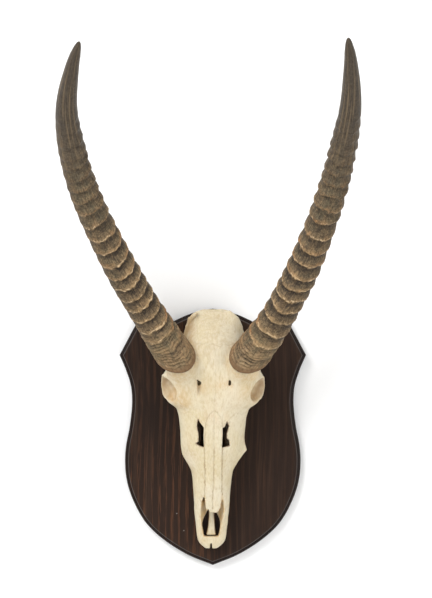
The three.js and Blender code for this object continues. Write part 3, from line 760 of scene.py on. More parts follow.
def hornAxis(shape):  # length, then points down the middle with their directions and distances
    line, distance = smoothLine([(x, -out, z) for x, out, z in shape["line"]], horn["step"])
    tangent = np.gradient(line, axis=0)
    tangent /= np.linalg.norm(tangent, axis=1)[:, None]
    front = np.array([0, -1, 0]) - tangent * (-tangent[:, 1:2])
    front /= np.linalg.norm(front, axis=1)[:, None]
    outer = np.cross(tangent, front)
    outer *= np.sign(outer[:, :1]) * shape["side"]
    keep = distance >= horn["tipStart"]
    return distance[-1], [a[keep] for a in (line, tangent, front, outer, distance)]


def plainRadius(s):  # without rings: the listed radii made smooth, and rounded off at the tip
    d, r = np.array(horn["radii"]).T
    places = np.arange(-60, 640)
    kernel = np.exp(-0.5 * (np.arange(-24, 25) / 8) ** 2)
    fine = np.convolve(np.interp(places, d, r), kernel / kernel.sum(), "same")
    radius = np.where(s < 30, np.interp(s, d, r), np.interp(s, places, fine))
    blunt = np.clip((s - horn["tipStart"]) / 5, 0, 1)
    return radius * np.sqrt(np.clip(1 - (1 - blunt) ** 2, 0.02, 1))


def makeHorn(name, node, shape, material):
    seed = shape["seed"]
    length, (line, tangent, front, outer, distance) = hornAxis(shape)
    rows, around = len(distance), horn["around"]
    angle = np.linspace(0, 2 * np.pi, around, endpoint=False)[None, :]
    s = distance[:, None]
    f, o = np.cos(angle), np.sin(angle)
    radius = plainRadius(s)

    def along(word):
        return smoothStep(*horn["along"][word], s)

    middleRadius = horn["middleRadius"]
    straight = np.stack(np.broadcast_arrays(middleRadius * f, middleRadius * o, s), -1)
    wobble = sum(reach * softNoise(straight * stretch, size, seed + more)
                 for reach, stretch, size, more in horn["wobble"])
    relief, crest, groove = ringShape(s + wobble, shape["rings"])
    outward = smoothStep(-0.2, 0.9, o) * shape["outerShare"]
    outward = outward + smoothStep(-0.2, 0.9, -o) * shape["innerShare"]
    forward = smoothStep(-0.6, 0.3, f)
    strength = np.abs(o) * outward + (1 - np.abs(o))
    strength = strength * (shape["backShare"] + (1 - shape["backShare"]) * forward)
    strength = strength * (1 + 0.3 * softNoise(straight, 11, seed + 2))
    lump = 0.6 * softNoise(straight * (1, 1, 0.7), 4.2, seed + 3) + 0.4 * softNoise(straight, 2.1, seed + 7)
    body = along("body")
    strength = strength * (1 - 0.3 * along("flatter"))
    radius = radius + horn["ringHeight"] * strength * relief + horn["lumps"] * lump * (0.5 + crest) * body
    fibres = softNoise(straight * (1, 1, 0.07), 2.4, seed + 4)
    radius = radius + horn["fibres"] * fibres * (0.35 + 0.65 * body)

    toBase = length - s - 6 * np.clip(-f, 0, 1)
    baseShare = smoothStep(horn["baseDipStart"], length, s)
    wrinkled = smoothStep(horn["wrinkleLength"] + 22, horn["wrinkleLength"] - 22, toBase)
    wrinkled = wrinkled * 0.55 + 0.45 * smoothStep(horn["wrinkleFade"], horn["wrinkleLength"], toBase)
    wrinkled = wrinkled * smoothStep(1, horn["rimBand"], toBase)
    drift = 3.6 * softNoise(straight, 11, seed + 5) + 1.1 * softNoise(straight, 4, seed + 8)
    drift = drift - 5 * (1 - baseShare) * f  # above the base the wrinkles sag with the rings
    wave = np.sin(2 * np.pi * (toBase + drift) / horn["wrinklePitch"])
    wave = wave * (0.75 + 0.5 * softNoise(straight, 9, seed + 6))
    radius = radius + horn["wrinkles"] * wave * wrinkled
    sway = toBase + 1.4 * softNoise(straight, 9, seed + 13)
    ridge = np.sin(2 * np.pi * sway / horn["ridgePitch"])
    ridged = smoothStep(horn["ridgeStart"], horn["ridgeStart"] + 3, sway)
    ridged = ridged * smoothStep(horn["ridgeEnd"], horn["ridgeEnd"] - 12, sway)
    ridged = ridged * smoothStep(0.75, 0.1, o) * smoothStep(-0.6, 0.2, f) * shape["ridges"]
    radius = radius + horn["ridgeHeight"] * ridge * ridged
    rim = smoothStep(horn["rimBand"] + 4, horn["rimBand"] - 5, toBase)
    radius = radius + 0.5 * rim * np.sin(np.pi * np.clip(toBase / horn["rimBand"], 0, 1))
    last = np.clip(1 - toBase / 4, 0, 1)
    reach = radius
    radius = radius - 3 * (1 - np.sqrt(np.clip(1 - last**2, 0, 1)))

    ringShare = along("sag")
    ringDip = horn["tipDip"] + (horn["ringDip"] - horn["tipDip"]) * along("steeper")
    dip = ringDip * ringShare * (1 - baseShare) + horn["baseDip"] * baseShare
    lift = shape["lift"] * ringShare * (1 - baseShare) + horn["baseLift"] * baseShare
    slide = reach * (dip * f - lift * o)
    points = (line[:, None, :] + front[:, None, :] * (radius * f)[..., None]
              + outer[:, None, :] * (radius * o)[..., None] + tangent[:, None, :] * slide[..., None])
    tip = line[0] - tangent[0] * horn["axisReach"]["tip"]
    end = line[-1] - tangent[-1] * horn["axisReach"]["base"]
    cloud = np.vstack([points.reshape(-1, 3), tip, end]) * mm
    cloud = np.clip(cloud, *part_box(node))  # no lump reaches out of the horn's own box
    piece = meshPiece(name, cloud, closedFaces(rows, around), material)
    fixNormals(piece)

    paint(piece, "straight", np.vstack([straight.reshape(-1, 3), [[0, 0, 0], [0, 0, length]]]) * mm)
    colourShare = along("colour") * (0.28 + 0.72 * along("fullColour"))
    broken = 0.75 + 0.5 * softNoise(straight, 8, seed + 9)
    ochre = crest * colourShare * broken * (0.3 + 0.7 * forward) * (1 - 0.6 * smoothStep(0.3, 1, o))
    thin = smoothStep(0.9, 1, crest) * along("line") * forward
    # painted shade in the groove below each crest
    grooves = groove * (0.3 + 0.7 * colourShare) * along("groove") * np.clip(strength, 0.4, 1)
    # painted shade in the wrinkle troughs
    wrinkleShade = wrinkled * smoothStep(0.1, -0.8, wave) * 0.5
    # darker over the last 4 mm at the base edge
    hem = 0.6 * smoothStep(4, 0.5, toBase)
    # painted shade between the ridges near the base
    between = 0.45 * ridged * np.clip(-ridge, 0, 1)
    marks = {
        "crest": 0.95 * ochre,
        "line": thin * (0.6 + 0.9 * softNoise(straight, 6, seed + 10)) + 0.35 * ridged * ridge,
        "groove": grooves + wrinkleShade + hem + between,
        "tip": along("tip"),
        "base": smoothStep(horn["wrinkleLength"] + 40, 30, toBase),
        "rim": rim * 0.85,
    }
    for word, values in marks.items():
        values = np.broadcast_to(np.clip(values, 0, 1), (rows, around))
        paint(piece, word, np.append(values.ravel(), [0, 0]))
    return handIn(piece, "horn_keratin", node)


keratin = hornKeratin()
makeHorn("leftHorn", "left_horn", leftHorn, keratin)
makeHorn("rightHorn", "right_horn", rightHorn, keratin)
print("horns: two ringed sheaths")


# The skull

skull = {
    "cell": 1.85, "gridX": (-94, 94.1), "gridZ": (-176, 206), "gridFront": 152,
    "flatBack": 20.3,
    "settleRounds": 2, "settleReach": 0.8, "slopeStep": 0.4,
    "seamDepth": 0.45, "seamWidth": 0.75, "seamReach": (2.2, 1.3), "seamFront": 55,
    "neckKnob": ((13, 29, 187), (8.5, 10, 8)), "earKnob": ((28, 30, 128), (9, 12, 14)),
    # painted shade along the right socket's inner edge
    "rightSocketShade": [(73, 89), (61, 64)],
    "spineHole": [(0, 41, 205), (0, 43, 188), (0, 50, 172)], "spineRadii": [10, 9, 7],
    "cream": (0.60, 0.515, 0.340),
    "chalk": (0.66, 0.595, 0.455),
    # dust, and painted shade on the left side of the braincase
    "dustAndShadeGrey": (0.47, 0.385, 0.262),
    "fleckTan": (0.46, 0.355, 0.20),
    "ochre": (0.54, 0.35, 0.155),
    # painted shade in the sockets, the brow furrow and the nose passage
    "hollowShadeBrown": (0.27, 0.165, 0.075),
    # painted shade deep in the nose passage and on the walls of the holes and slots
    "deepShadeBrown": (0.20, 0.135, 0.085),
    "seamBrown": (0.30, 0.20, 0.105),
}
faceStations = [  # z, half width, front, back, widest, squareness in front, squareness behind
    (176, 22, 96, 82, 90, 2.2, 2.0), (160, 36, 109, 82, 96, 2.2, 2.0), (145, 46, 117, 78, 96, 2.4, 2.0),
    (130, 54, 121, 70, 92, 2.5, 2.0), (116, 63, 122.5, 62, 86, 2.7, 2.0),
    (107, 71, 122.5, 58, 78, 2.9, 2.0), (98, 77, 121.5, 54, 72, 3.0, 2.0),
    (82, 78, 119, 50, 68, 3.0, 2.0), (68, 75.5, 116, 48, 66, 2.8, 2.0),
    (57, 68.5, 113.5, 48, 66, 2.6, 2.0), (48, 55.5, 111, 48, 66, 2.4, 2.2),
    (34, 51.5, 108, 48, 65, 2.2, 2.4),
    (12, 49.4, 102.5, 48, 62, 2.1, 2.5), (-12, 48.4, 96.5, 48, 58, 2.0, 2.6),
    (-24, 46.2, 93, 48, 55, 1.9, 2.6), (-35, 39.5, 89.5, 48, 54, 2.0, 2.6),
    (-49, 31.2, 85, 47, 55, 2.1, 2.5), (-80, 28.4, 76, 43, 51, 2.2, 2.5),
    (-110, 26.8, 65, 36, 44, 2.3, 2.5), (-138, 24, 52.5, 30, 37, 2.4, 2.5),
    (-154, 22.3, 46, 28, 34, 2.6, 2.5), (-160, 20.4, 44, 28, 33.5, 2.6, 2.5),
    (-165, 16.8, 42, 28, 33, 2.6, 2.4), (-171, 8.5, 38, 30, 33, 2.4, 2.2),
]
craniumStations = [
    (199, 13, 74, 44, 60, 2.2, 2.2), (196.5, 28, 79, 32, 56, 2.4, 2.2), (189, 36.5, 87, 20, 54, 2.2, 2.3),
    (174, 40, 100, 12, 56, 2.1, 2.5), (156, 43.5, 112, 12, 60, 2.2, 2.5), (138, 41, 118, 12, 62, 2.2, 2.5),
    (118, 37, 117, 14, 64, 2.2, 2.4), (98, 33, 111, 16, 64, 2.2, 2.2), (80, 24, 96, 26, 62, 2.2, 2.0),
    (58, 17, 88, 40, 62, 2.2, 2.0),
]
orbit = {
    "centre": (84, 89, 75.5), "halfSizes": (36, 20.5, 21.5), "turn": math.radians(15),
    "rightShift": 4,  # the right socket lies a little further to the side
}
cheek = {
    "arch": [(54, 70, 62), (69, 58, 84), (66, 52, 110), (54, 52, 134), (38, 52, 148)],
    "radii": [9, 8, 6, 7, 9],
    "leftCorner": [(-42, 64, -6), (-42.2, 64, -22), (-35, 62, -33)],
    "rightCorner": [(43, 64, 0), (49.4, 64, -15), (36, 62, -31)],
    "cornerRadii": [4.5, 3.0, 4.0],
}
toothRow = {
    "innerStart": 21.5, "innerEnd": 31, "start": -50,
    "lengths": [9.5, 11.5, 12.5, 15.5, 18, 18.5], "widths": [8, 10, 12, 14.5, 15, 14],
    "gum": 37, "bite": 21, "space": 0.5, "ridgeHalf": (5.5, 3.5), "ridgeMiddle": 46.5, "ridgeDepth": 6.5,
    "ridgeRounding": 3,
    "around": 56, "ivory": (0.66, 0.58, 0.40), "brown": (0.42, 0.30, 0.16), "dark": (0.10, 0.06, 0.03),
}
toothRow["total"] = sum(toothRow["lengths"]) + len(toothRow["lengths"]) * toothRow["space"]
brow = {  # the hole above each eye, and the furrow that runs down from it
    "left": -20.9, "right": 25.2, "depth": 14, "back": (116, 88), "end": (104, 92), "radii": [3.0, 2.0],
    "furrows": {"left": (15, 4.6), "right": (7, 1.3)},
}
crest = {  # the raised edge round the back of the braincase
    "left": [(-26, 84, 193), (-36, 80, 184), (-39.5, 76, 173), (-43, 74, 160)],
    "right": [(26, 87, 193), (34.5, 88, 185), (40.2, 88, 172), (43, 86, 163), (40, 85, 152)],
    "radii": [2.5, 3, 3, 3, 2],
    "fill": [(19, 76, 186), (26, 82, 172), (29, 86, 156)], "fillRadii": [13, 15, 14],
    "chip": ((18.5, 80, 199), (5, 14, 3.2)),
}
cutDepths = {"nasal": (41, 110), "slot": (10, 60), "face": (72, 130)}  # how far out they start and end
hornRoot = {"place": (30, 92, 96), "reach": 12, "radii": [22.5, 25.5, 18.5], "collar": [28, 27]}
faceSwells = [  # height, then middle and reach sideways and upwards, the same on both sides
    (-1.1, 30, 11, 47, 15), (1.0, 15, 8, 112, 22), (0.8, 0, 5, 128, 20),
]
openings = {
    "nasal": [  # round the tips of the two nasal bones, then round the front bones
        (-11.4, -85), (-10.4, -92), (-9.0, -104), (-7.0, -110.6), (-5.2, -106.6), (-3.4, -112.2),
        (2.2, -112.4), (7.2, -112.8), (10.6, -109.6), (13.7, -104.5), (14.6, -97.5), (15.9, -85.5),
        (19, -97), (19.9, -108.3), (17.5, -123.6), (14.3, -136), (11.2, -150.5), (-11.4, -150.5),
        (-15, -136), (-16.8, -123.6), (-17.5, -108.3), (-15.6, -97),
    ],
    "leftSlot": [(-5.3, -108), (-7.5, -114.1), (-10.4, -119.2), (-13, -124.9), (-14.4, -130.8),
                 (-14.3, -135.3), (-13, -142.3), (-12, -148.8), (-10.4, -151.4), (-7.9, -150),
                 (-5.8, -139.8), (-5, -132), (-4.1, -119.2), (-4.3, -109)],
    "rightSlot": [(4.0, -111.5), (7.6, -115.3), (10.1, -120.4), (12.7, -126.9), (13.5, -132),
                  (13, -138.4), (11.8, -144.9), (10.2, -151.2), (6.9, -149.7), (5.7, -141.7),
                  (4.7, -132), (3.9, -119.2)],
    "endSlit": [(-8.6, -151.5), (8.6, -151.3), (8.6, -149.7), (-8.6, -149.9)],
    "muzzleSplit": [(-2.2, -175), (-1.9, -168), (-1.3, -162), (0.6, -162), (1.2, -168), (1.5, -175)],
    "leftBrow": [(-24.4, 94.6), (-21, 92), (-17.4, 89), (-18.8, 85.4), (-22, 84.4), (-23.2, 89)],
    "rightBrow": [(23.4, 93.4), (26.8, 92.8), (27, 86.4), (24.6, 85.2), (23.9, 89)],
    "leftFace": [(-21.5, 32.8), (-19.5, 28.3), (-13.2, 20), (-13.8, 8), (-12.4, -10), (-18.5, -8.4),
                 (-24.2, -4.4), (-20.6, -1.6), (-20.4, 9), (-23.4, 22.9)],
    "rightFace": [(21.8, 29.4), (24.6, 23), (21.8, 12), (21.3, 3.5), (24.6, 1.2), (26, -7.3),
                  (14.8, -10.4), (15.6, 8.2), (15.2, 19.8), (18.6, 21.6)],
}
nosePassage = {
    "line": [(1, 49, -136), (1.5, 51, -105), (1.5, 60, -60), (1, 70, -10), (0, 73, 30), (0, 60, 62),
             (0, 34, 80), (0, 10, 92)],
    "radii": [8.5, 9.5, 12, 17, 18, 14, 11, 11],
}
seams = {  # joins between the bones, seen from the front: how marked, then x and height
    "brow": (0.55, [(3, 108), (3.5, 96), (4.2, 84), (4.4, 77), (3, 66), (2, 56), (2.4, 47)]),
    "nasal": (0.6, [(2.4, 46), (2.4, 20), (2.5, -10), (2.6, -57), (1.6, -88), (1.8, -106)]),
    "leftNasal": (1.0, [(2.4, 46.5), (-3.4, 41.5), (-6.6, 37), (-9.7, 30.4), (-11.1, 19.7), (-12.1, -10),
                        (-10.8, -57), (-11.2, -85)]),
    "rightNasal": (1.0, [(2.4, 46.5), (8.0, 42), (11.5, 37), (14.6, 30.5), (15.5, 20), (15.7, -10),
                         (15.2, -57), (16.2, -84)]),
    "crown": (0.5, [(-28, 149), (-24, 147), (-20, 148.5), (-16, 146.5), (-12, 148), (-8, 145), (-4, 147),
                    (0, 147.5), (4, 145.5), (8, 143.5), (11, 143), (14, 146), (18, 147.5), (22, 145.5),
                    (26, 146.5), (30, 148), (34, 147)]),
    "leftTear": (0.3, [(-53, 44), (-44, 40), (-36, 44), (-27, 37), (-22, 33)]),
    "rightTear": (0.35, [(52, 45), (44, 40), (36, 43), (28, 36), (22, 30)]),
    "leftCheek": (0.25, [(-50, 30), (-44, 14), (-38, 2), (-37, -14), (-40, -22)]),
    "rightCheek": (0.25, [(50, 28), (44, 14), (39, 2), (38, -12), (43, -18)]),
    "crack": (0.9, [(26.4, 30), (25, 26), (23.2, 23.5)]),
}
stains = [  # warm marks on the bone: middle, reach and strength
    (2, 90, 20, 12, 0.45), (2, 66, 22, 14, 0.3), (-14, 36, 8, 10, 0.3), (18, 36, 8, 10, 0.25),
    (-36, -30, 14, 30, 0.25), (-52, 78, 20, 22, 0.55), (54, 84, 16, 18, 0.5), (-42, 60, 12, 16, 0.5),
    (36, 70, 12, 18, 0.6), (16, 86, 12, 6, 0.5), (-20, 80, 7, 9, 0.6), (2.4, 36, 12, 14, 0.5),
    (-62, 62, 12, 10, 0.5), (60, 62, 14, 12, 0.4), (-16, -140, 8, 16, 0.35), (14, -140, 8, 16, 0.35),
    (0, -158, 16, 8, 0.25),
]


def stationCurves(stations):  # smooth values of each column at every half millimetre of height
    table = np.array(sorted(stations))
    heights = np.arange(table[0, 0] - 12, table[-1, 0] + 12, 0.5)
    kernel = np.exp(-0.5 * (np.arange(-10, 11) * 0.5 / 2.2) ** 2)
    kernel /= kernel.sum()
    columns = []
    for column in table[:, 1:].T:
        values = np.interp(heights, table[:, 0], column)
        padded = np.pad(values, 10, mode="edge")
        columns.append(np.convolve(padded, kernel, "valid"))
    return table[0, 0], table[-1, 0], heights, columns


faceCurves = stationCurves(faceStations)
craniumCurves = stationCurves(craniumStations)


def faceColumn(z, column):  # 1 is how far out the front lies, 3 where the face is widest
    return np.interp(z, faceCurves[2], faceCurves[3][column])


def loftField(x, out, z, curves, ends=3):
    bottom, top, heights, columns = curves
    half, front, back, widest, squareFront, squareBack = (np.interp(z, heights, c) for c in columns)
    rise = out - widest
    reach = np.where(rise > 0, front - widest, widest - back)
    power = np.where(rise > 0, squareFront, squareBack)
    shell = ((np.abs(x) / half) ** power + (np.abs(rise) / reach) ** power) ** (1 / power)
    spread = np.hypot(x, rise)
    around = spread * (1 - 1 / np.maximum(shell, 0.05))
    return smoothMax(around, np.maximum(z - top, bottom - z), ends)


def ballField(x, out, z, centre, halfSizes):
    dx, dy, dz = ((v - c) / h for v, c, h in zip((x, out, z), centre, halfSizes))
    size = np.sqrt(dx * dx + dy * dy + dz * dz)
    slope = np.sqrt((dx / halfSizes[0]) ** 2 + (dy / halfSizes[1]) ** 2 + (dz / halfSizes[2]) ** 2)
    return size * (size - 1) / np.maximum(slope, 1e-6)


def barField(x, out, z, points, radii, blend=2.0):
    best = None
    for a, b, r0, r1 in zip(points, points[1:], radii, radii[1:]):
        d = [q - p for p, q in zip(a, b)]
        p = [v - c for v, c in zip((x, out, z), a)]
        h = np.clip(sum(u * v for u, v in zip(p, d)) / sum(v * v for v in d), 0, 1)
        gap = np.sqrt(sum((u - h * v) ** 2 for u, v in zip(p, d))) - (r0 + (r1 - r0) * h)
        best = gap if best is None else smoothMin(best, gap, blend)
    return best


def outlineField(x, z, outline):  # signed distance to a closed outline in the front view
    inside = np.zeros(np.broadcast(x, z).shape, bool)
    for (ax, az), (bx, bz) in zip(outline, outline[1:] + outline[:1]):
        crosses = (az > z) != (bz > z)
        slope = (bx - ax) / (bz - az if abs(bz - az) > 1e-9 else 1e-9)
        inside ^= crosses & (x < ax + (z - az) * slope)
    distance = lineDistance(x, z, outline + outline[:1])
    return np.where(inside, -distance, distance)


def depthField(out, cut):
    start, end = cutDepths[cut]
    return np.maximum(start - out, out - end)


def socketField(x, out, z):  # the eye socket on either side
    ax = np.abs(x)
    cx, cy, cz = orbit["centre"]
    c, s = math.cos(orbit["turn"]), math.sin(orbit["turn"])
    dx, dy = ax - cx - orbit["rightShift"] * (x > 0), out - cy
    return ballField(c * dx - s * dy, s * dx + c * dy, z - cz, (0, 0, 0), orbit["halfSizes"])


def frontRelief(x, z):  # low shapes on the face, in mm outwards
    nasal = smoothStep(16.5, 11.5, np.abs(x - 2.2)) * smoothStep(50, 30, z) * smoothStep(-128, -110, z)
    relief = 1.5 * nasal * (1 - 0.35 * bell((x - 2.4) / 2.2))
    for height, cx, wx, cz, wz in faceSwells:
        relief = relief + height * bell((np.abs(x) - cx) / wx, (z - cz) / wz)
    for word, (reach, depth) in brow["furrows"].items():
        below = smoothStep(90, 86, z) * smoothStep(86 - reach - 8, 86 - reach + 4, z)
        relief = relief - depth * bell((x - brow[word] + 0.03 * (86 - z)) / 2.0) * below
    return relief


def upright(point):  # from the trophy's frame to the skull's own
    x, z = leanPoints(point[0], point[2], -1)
    return np.array([x, point[1], z])


def hornStump(x, out, z, shape):  # bone core of the horn
    base, above = (np.array(p, float) for p in shape["line"][:-3:-1])
    axis = (above - base) / np.linalg.norm(above - base)
    root = np.array(hornRoot["place"]) * (shape["side"], 1, 1)
    base = upright(base)
    middle = root * 0.4 + base * 0.6
    return barField(x, out, z, [root, middle, base + hornRoot["reach"] * axis], hornRoot["radii"], 6)


def hornCollar(x, out, z):  # one where the bone meets the horns, zero a centimetre away
    near = np.zeros_like(x)
    for shape in (leftHorn, rightHorn):
        base, above = (np.array(p, float) for p in shape["line"][:-3:-1])
        ends = [upright(base + t * (above - base)) for t in (-0.1, 0.4)]
        near = np.maximum(near, smoothStep(10, 0, barField(x, out, z, ends, hornRoot["collar"])))
    return near


def skullField(x, out, z):  # below zero inside the bone
    ax = np.abs(x)
    face = loftField(x, out, z, faceCurves)
    front = smoothStep(0, 22, out - faceColumn(z, 3))
    face = face - frontRelief(x, z) * front
    cranium = loftField(x, out, z, craniumCurves)
    bone = smoothMin(face, cranium, 9)
    bone = smoothMin(bone, barField(ax, out, z, cheek["arch"], cheek["radii"]), 5)
    for shape in (leftHorn, rightHorn):
        bone = smoothMin(bone, hornStump(x, out, z, shape), 7)
    share = np.clip((z - toothRow["start"]) / toothRow["total"], 0, 1)
    rowX = toothRow["innerStart"] + (toothRow["innerEnd"] - toothRow["innerStart"]) * share
    narrow, wider = toothRow["ridgeHalf"]  # the bone that holds the teeth widens towards the back
    rounding, halfRow = toothRow["ridgeRounding"], toothRow["total"] / 2
    q = [np.abs(ax - rowX) - (narrow + wider * share) + rounding,
         np.abs(out - toothRow["ridgeMiddle"]) - toothRow["ridgeDepth"],
         np.abs(z - toothRow["start"] - halfRow) - halfRow - 1]
    within = np.minimum(np.maximum.reduce(np.broadcast_arrays(*q)), 0)
    ridge = np.sqrt(sum(np.maximum(v, 0) ** 2 for v in q)) + within - rounding
    bone = smoothMin(bone, ridge, 9)
    bone = smoothMin(bone, barField(x, out, z, crest["left"], crest["radii"]), 5)
    bone = smoothMin(bone, barField(x, out, z, crest["fill"], crest["fillRadii"]), 8)
    bone = smoothMin(bone, barField(x, out, z, crest["right"], crest["radii"]), 8)
    bone = smoothMax(bone, -ballField(x, out, z, *crest["chip"]), 2)
    bone = smoothMin(bone, ballField(ax, out, z, *skull["neckKnob"]), 4)
    bone = smoothMin(bone, ballField(ax, out, z, *skull["earKnob"]), 3)
    for corner in ("leftCorner", "rightCorner"):
        bone = smoothMin(bone, barField(x, out, z, cheek[corner], cheek["cornerRadii"], 0.5), 3)

    socket = socketField(x, out, z)
    inner = smoothStep(78, 64, ax)  # the side of the nose, where the edge is soft
    lip = smoothMax(np.abs(socket - 1.6) - 2.0 + 4 * inner, bone - 1.3, 1.5)  # raised edge of the socket
    bone = smoothMin(bone, lip, 2.0)
    bone = smoothMax(bone, -socket, 1.6 + 5 * inner)
    roof = faceColumn(z, 1)
    for word in ("left", "right"):
        mouth = outlineField(x, z, openings[word + "Brow"])
        mouth = np.maximum(mouth, roof - brow["depth"] - out)
        bone = smoothMax(bone, -mouth, 1.2)
        canal = [(brow[word], *brow["back"]), (brow[word], *brow["end"])]
        bone = smoothMax(bone, -barField(x, out, z, canal, brow["radii"]), 1.6)
    nasal = outlineField(x, z, openings["nasal"])
    rims = np.minimum(lineDistance(x, z, openings["nasal"][11:17]),
                      lineDistance(x, z, openings["nasal"][17:]))
    deepest, front = cutDepths["nasal"]
    floor = np.maximum(deepest, roof - 2.5 - 2.3 * rims)  # the inner walls slope down from the rims
    nasal = smoothMax(nasal, np.maximum(floor - out, out - front), 1.0)
    bone = smoothMax(bone, -nasal, 0.8)
    for name in ("leftSlot", "rightSlot", "endSlit", "muzzleSplit"):
        slot = np.maximum(outlineField(x, z, openings[name]), depthField(out, "slot"))
        bone = smoothMax(bone, -slot, 0.6)
    for name in ("leftFace", "rightFace"):
        hole = smoothMax(outlineField(x, z, openings[name]), depthField(out, "face"), 1.0)
        bone = smoothMax(bone, -hole, 1.0)
    bone = smoothMax(bone, -barField(x, out, z, nosePassage["line"], nosePassage["radii"], 6), 2)
    bone = smoothMax(bone, -barField(x, out, z, skull["spineHole"], skull["spineRadii"]), 2)
    return smoothMax(bone, skull["flatBack"] - out, 0.8)


def skinOf(field, xs, outs, zs):  # a surface net round everything below zero
    inside = field < 0
    shape = tuple(n - 1 for n in field.shape)
    windows = [tuple(slice(c, n + c) for c, n in zip(corner, shape)) for corner in np.ndindex(2, 2, 2)]
    count = sum(inside[window].astype(np.uint8) for window in windows)
    cells = np.argwhere((count > 0) & (count < 8))
    index = np.full(shape, -1)
    index[tuple(cells.T)] = np.arange(len(cells))
    total = np.zeros((len(cells), 3))
    hits = np.zeros(len(cells))
    steps = np.eye(3, dtype=int)
    for axis in range(3):
        b, c = (axis + 1) % 3, (axis + 2) % 3
        for i, j in np.ndindex(2, 2):
            offset = i * steps[b] + j * steps[c]
            f0 = field[tuple((cells + offset).T)]
            f1 = field[tuple((cells + offset + steps[axis]).T)]
            cross = (f0 < 0) != (f1 < 0)
            t = np.where(cross, f0 / np.where(cross, f0 - f1, 1), 0)
            total += cross[:, None] * (offset + t[:, None] * steps[axis])
            hits += cross
    place = cells + total / hits[:, None]
    columns = [np.interp(place[:, a], np.arange(len(v)), v) for a, v in enumerate((xs, outs, zs))]
    points = np.stack(columns, -1)
    faces = []
    for axis in range(3):
        b, c = (axis + 1) % 3, (axis + 2) % 3
        low = np.take(inside, range(0, field.shape[axis] - 1), axis=axis)
        high = np.take(inside, range(1, field.shape[axis]), axis=axis)
        edges = np.argwhere(low != high)
        keep = (edges[:, b] > 0) & (edges[:, c] > 0) & (edges[:, b] < shape[b]) & (edges[:, c] < shape[c])
        edges = edges[keep]
        quad = np.stack([index[tuple((edges - i * steps[b] - j * steps[c]).T)]
                         for i, j in ((0, 0), (1, 0), (1, 1), (0, 1))], -1)
        solidLow = low[tuple(edges.T)]
        faces.append(np.where(solidLow[:, None], quad, quad[:, ::-1]))
    return points, np.vstack(faces)


def settle(points):  # moves points onto the bone's true surface
    h, reach = skull["slopeStep"], skull["settleReach"]
    for _ in range(skull["settleRounds"]):
        x, out, z = points.T
        value = skullField(x, out, z)
        slope = np.stack([
            skullField(x + h, out, z) - skullField(x - h, out, z),
            skullField(x, out + h, z) - skullField(x, out - h, z),
            skullField(x, out, z + h) - skullField(x, out, z - h),
        ], -1) / (2 * h)
        move = slope * (value / np.maximum((slope**2).sum(1), 0.05))[:, None]
        size = np.linalg.norm(move, axis=1)[:, None]
        points = points - move * np.minimum(1, reach / np.maximum(size, 1e-9))
    return points, slope / np.maximum(np.linalg.norm(slope, axis=1)[:, None], 1e-6)


def seamMarks(points):  # distance to the nearest join, and how strongly the joins show
    x, _, z = points.T
    sway = 0.55 * softNoise(points, 3.4, 71) + 0.3 * softNoise(points, 1.6, 72)
    nearest = np.full(len(points), 1e9)
    marks = np.zeros(len(points))
    for strength, line in seams.values():
        away = lineDistance(x + sway, z + sway, line)
        nearest = np.minimum(nearest, away)
        marks = np.maximum(marks, strength * bell(away / skull["seamWidth"]))
    return nearest, marks


def refineSeams(points, faces):  # smaller faces along the joins
    work = bmesh.new()
    mesh = bpy.data.meshes.new("work")
    mesh.from_pydata(points.tolist(), [], faces.tolist())
    work.from_mesh(mesh)
    bpy.data.meshes.remove(mesh)
    for reach in skull["seamReach"]:
        work.verts.ensure_lookup_table()
        place = np.array([v.co for v in work.verts])
        near = (seamMarks(place)[0] < reach) & (place[:, 1] > skull["seamFront"])
        chosen = [e for e in work.edges if near[e.verts[0].index] and near[e.verts[1].index]]
        bmesh.ops.subdivide_edges(work, edges=chosen, cuts=1, use_grid_fill=True)
        work.verts.index_update()
    work.verts.ensure_lookup_table()
    place = np.array([v.co for v in work.verts])
    bmesh.ops.triangulate(work, faces=[f for f in work.faces if len(f.verts) > 4])
    result = [[v.index for v in f.verts] for f in work.faces]
    work.free()
    return place, result


